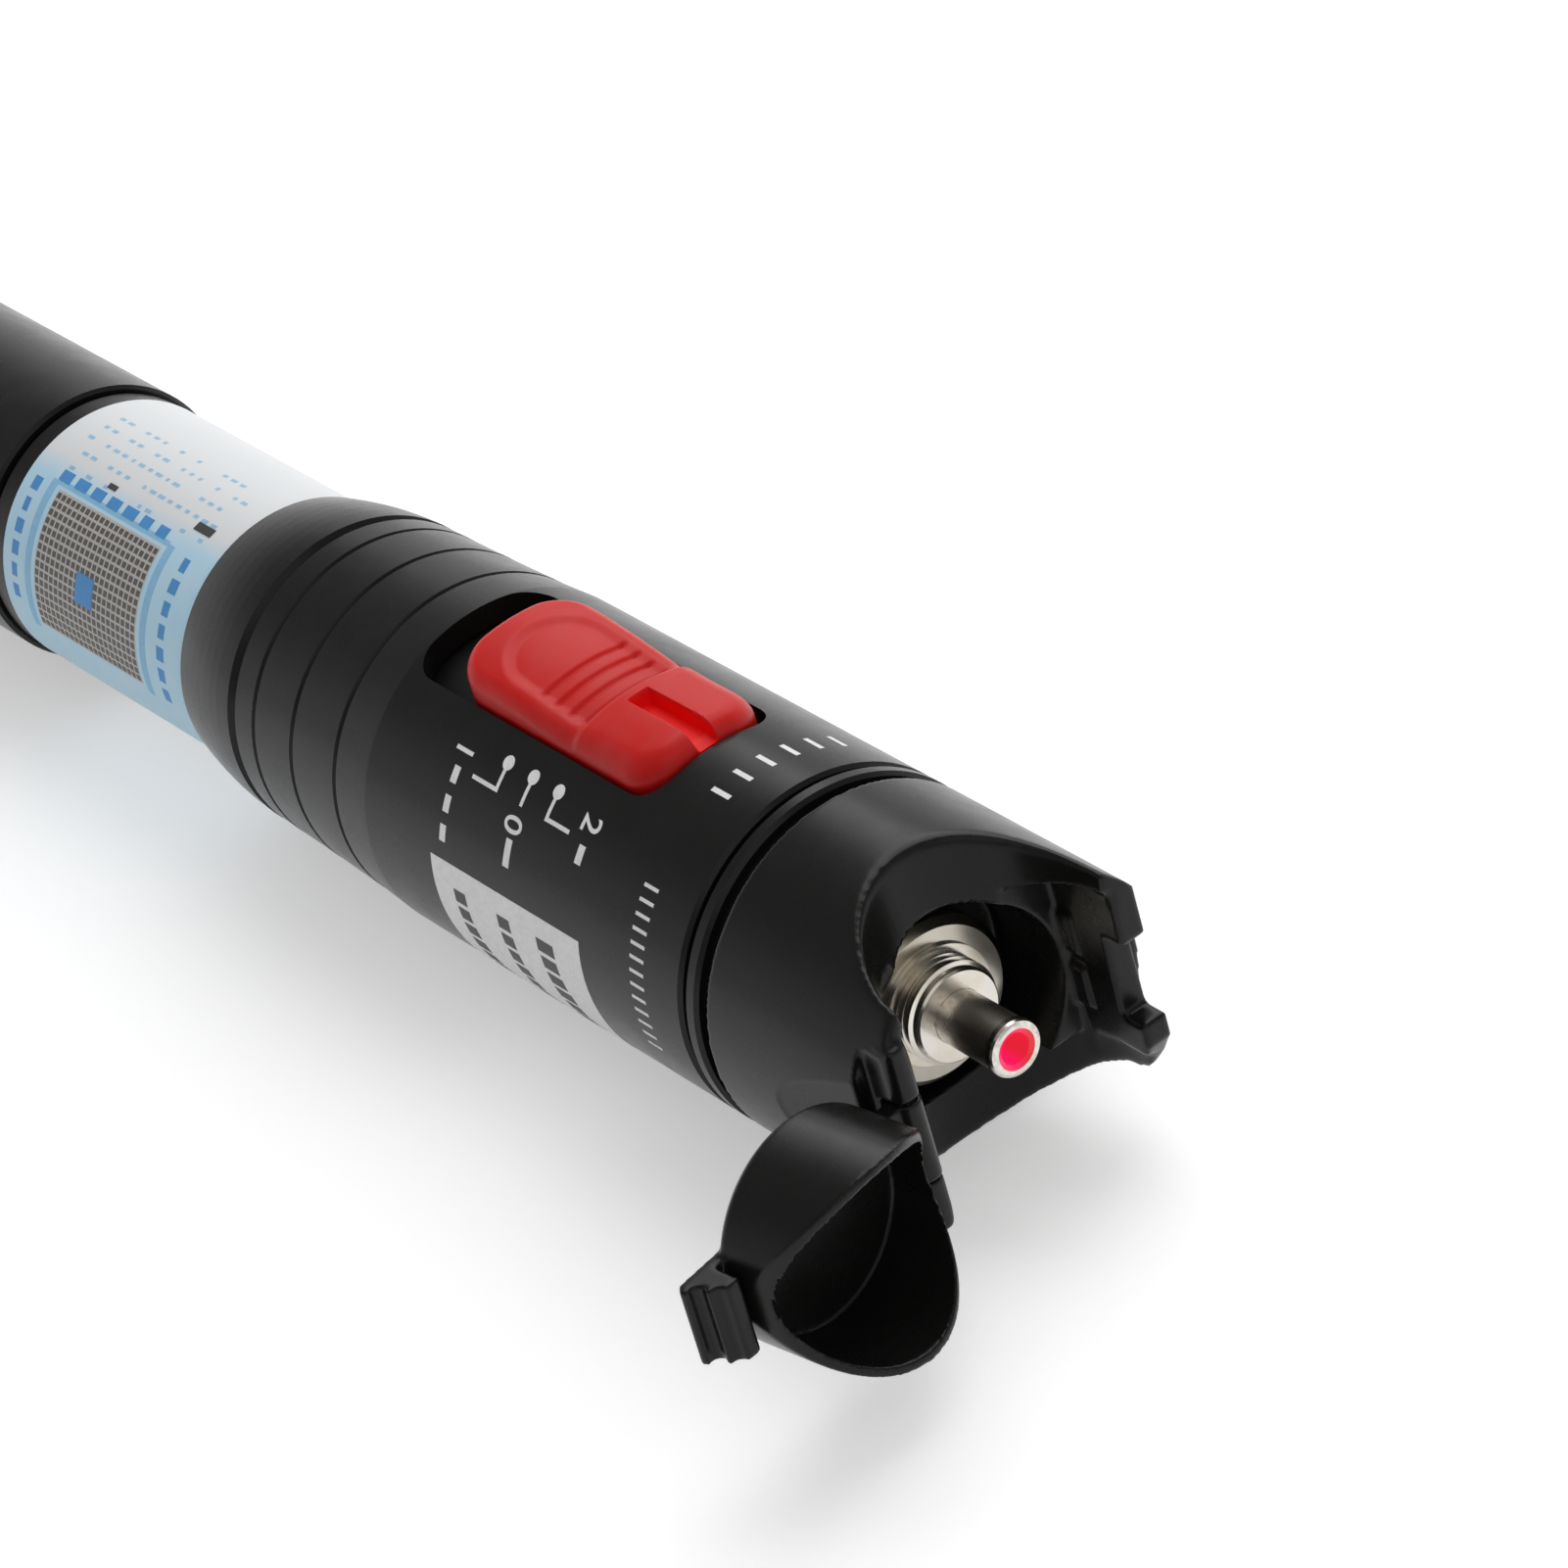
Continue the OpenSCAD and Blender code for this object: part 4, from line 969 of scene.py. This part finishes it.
class PEN_OT_label(bpy.types.Operator):
    """Print the tube's label with a plain grid and plain bars"""
    bl_idname = "pen.label_print"
    bl_label = "Label print"

    def execute(self, context):
        thick = 0.03 * MM
        degree = math.radians(1) * LABEL_RADIUS / MM
        pieces = (
            ("label_frame", "sky_ink",
             plates(-115.3, 152, (0.9, 66 * degree), cuts=(2, 50)),
             plates(-97.6, 152, (0.9, 66 * degree), cuts=(2, 50)),
             plates(-106.45, 119.2, (16.8, 2.4 * degree), cuts=(2, 4))),
            ("label_ground", "grid_ground",
             plates(-106.45, 152, (15.6, 60 * degree), cuts=(2, 50))),
            ("label_grid", "grid_ink",
             plates(-106.45, 152, (0.5, 0.5), count=(21, 16), pitch=(0.74, 0.74), thickness=3 * thick)),
            ("label_square", "blue_ink",
             plates(-106.6, 154, (2.6, 2.6), cuts=(2, 6), thickness=4 * thick)),
            ("label_bars", "blue_ink",
             plates(-107, 116.2, (1.9, 1.0), count=(7, 1), pitch=(2.45, 1), cuts=(2, 3), shortest=0.6, seed=3,
                    thickness=3 * thick),
             plates(-117.4, 148, (1.2, 1.2), count=(1, 6), pitch=(1, 1.9), cuts=(2, 3), shortest=0.6, seed=5),
             plates(-94.9, 152, (1.3, 1.2), count=(1, 7), pitch=(1, 1.9), cuts=(2, 3), shortest=0.6, seed=8)),
            ("label_lines", "pale_ink",
             plates(-105.5, 96, (0.9, 0.35), count=(17, 5), pitch=(1.3, 1.6), shortest=0.4, kept=0.6,
                    seed=4)),
            ("label_dashes", "grey_ink",
             plates(-95.6, 107, (2.4, 0.8), cuts=(2, 3), thickness=3 * thick),
             plates(-108.6, 110.5, (1.2, 0.5), cuts=(2, 3), thickness=3 * thick)))
        tree = plate_tree()
        for name, finish, *rows in pieces:
            printed(tree, LABEL_RADIUS, thick, name, "label_paper", finish, *rows)
        return {"FINISHED"}


class PEN_OT_studio(bpy.types.Operator):
    """Set the floor, the lamps, the sky and the camera"""
    bl_idname = "pen.studio"
    bl_label = "Studio"

    # Square lamps: place and side in metres; each one's power is the setting of its name
    lamps = {"key": ((-0.42, 0.62, 0.92), 1.1), "fill": ((0.75, -0.25, 0.75), 0.9)}
    lit_point = Vector((-0.04, 0, 0))

    def execute(self, context):
        settings = context.scene.pen_studio
        self.floor(settings)
        self.sky(context.scene, settings)
        for name, (place, size) in self.lamps.items():
            self.lamp(name, Vector(place), size, getattr(settings, name))
        self.camera(context.scene, settings)
        context.scene.view_settings.view_transform = "Standard"
        return {"FINISHED"}

    def floor(self, settings):
        """A wide white floor under the pen, which adds light only to what is seen of it."""
        half, level = 3.0, BODY_LOW.z
        corners = [(-half, -half, level), (half, -half, level), (half, half, level), (-half, half, level)]
        mesh = bpy.data.meshes.new("floor")
        mesh.from_pydata(corners, [], [(0, 1, 2, 3)])
        material, graph, place = new_material("Floor")
        base = graph.mix(graph.noise(place, 0.25), toned(settings.floor, 0.985), settings.floor)
        matt = graph.add("ShaderNodeBsdfPrincipled", {"Base Color": base, "Roughness": 0.9,
                                                      "Specular IOR Level": 0.1})
        rays = graph.add("ShaderNodeLightPath").outputs
        seen = graph.maths("MAXIMUM", rays["Is Camera Ray"], rays["Is Transmission Ray"])
        seen = graph.maths("MAXIMUM", seen, rays["Is Glossy Ray"])
        lift = graph.add("ShaderNodeEmission", {"Color": (1, 1, 1, 1),
                                                "Strength": graph.maths("MULTIPLY", seen, settings.lift)})
        both = graph.add("ShaderNodeAddShader", {0: matt.outputs[0], 1: lift.outputs[0]})
        graph.add("ShaderNodeOutputMaterial", {"Surface": both.outputs[0]})
        mesh.materials.append(material)
        linked("floor", mesh)

    def sky(self, scene, settings):
        """A sky that is white at the horizon, as a sweep is, and dimmer overhead and behind the camera."""
        world = bpy.data.worlds.new("Studio")
        world.use_nodes = True
        world.node_tree.nodes.clear()
        graph = Graph(world.node_tree)
        x, y, z = graph.split(graph.add("ShaderNodeTexCoord").outputs["Generated"])
        low = graph.ramp(z, 0.18, 0.5, 1.0, 0.0)
        far = graph.ramp(graph.maths("ADD", graph.maths("MULTIPLY", x, -0.9), y), -0.8, 0.5, 0.15, 1.0)
        sweep = graph.maths("MULTIPLY", graph.maths("MULTIPLY", low, far), settings.horizon)
        strength = graph.maths("ADD", sweep, settings.sky)
        seen = graph.add("ShaderNodeLightPath").outputs["Is Camera Ray"]
        strength = graph.add("ShaderNodeMix", {0: seen, 2: strength, 3: 1.0}, data_type="FLOAT").outputs[0]
        sky = graph.add("ShaderNodeBackground", {"Color": (1, 1, 1, 1), "Strength": strength})
        graph.add("ShaderNodeOutputWorld", {"Surface": sky.outputs[0]})
        scene.world = world

    def lamp(self, name, place, size, power):
        """A square lamp that faces the pen."""
        data = bpy.data.lights.new(name, "AREA")
        data.shape = "SQUARE"
        data.size = size
        data.energy = power
        lamp = linked(name, data)
        lamp.location = place
        lamp.rotation_euler = (place - self.lit_point).to_track_quat("Z", "Y").to_euler()

    def camera(self, scene, settings):
        """A long lens from the photograph's side."""
        a, e, roll = settings.azimuth, settings.elevation, settings.roll
        back = Vector((math.cos(a) * math.cos(e), math.sin(a) * math.cos(e), math.sin(e)))
        level = Vector((-math.sin(a), math.cos(a), 0))
        right = level * math.cos(roll) + back.cross(level) * math.sin(roll)
        turn = Matrix((right, back.cross(right), back)).transposed().to_4x4()
        data = bpy.data.cameras.new("camera")
        data.lens = settings.lens
        data.sensor_width = 36
        data.clip_start = 0.01
        data.clip_end = 20
        camera = linked("camera", data)
        camera.matrix_world = Matrix.Translation(Vector(settings.aim) + back * settings.distance) @ turn
        scene.camera = camera


class PEN_PT_panel(bpy.types.Panel):
    """Steps that finish the pen"""
    bl_label = "Fault locator pen"
    bl_idname = "PEN_PT_panel"
    bl_space_type = "VIEW_3D"
    bl_region_type = "UI"
    bl_category = "Pen"

    def draw(self, context):
        for step in STEPS:
            self.layout.operator(step.bl_idname)
        for name in GROUPS:
            group = getattr(context.scene, name)
            box = self.layout.box()
            for key in group.__annotations__:
                box.prop(group, key)


STEPS = (PEN_OT_finishes, PEN_OT_head, PEN_OT_cap, PEN_OT_slider, PEN_OT_print, PEN_OT_label, PEN_OT_studio)
GROUPS = {"pen_finish": PenFinish, "pen_soften": SoftenSettings, "pen_slider": SliderShape,
          "pen_print": PrintLayout, "pen_studio": StudioSettings}


def register():
    for name, group in GROUPS.items():
        bpy.utils.register_class(group)
        setattr(bpy.types.Scene, name, PointerProperty(type=group))
    for step in STEPS:
        bpy.utils.register_class(step)
    bpy.utils.register_class(PEN_PT_panel)


def unregister():
    bpy.utils.unregister_class(PEN_PT_panel)
    for step in reversed(STEPS):
        bpy.utils.unregister_class(step)
    for name, group in reversed(GROUPS.items()):
        delattr(bpy.types.Scene, name)
        bpy.utils.unregister_class(group)


def main():
    register()
    bpy.ops.pen.finishes()
    bpy.ops.pen.head()
    bpy.ops.pen.cap()
    bpy.ops.pen.slider()
    bpy.ops.pen.body_print()
    bpy.ops.pen.label_print()
    bpy.ops.pen.studio()


if __name__ == "__main__":
    main()
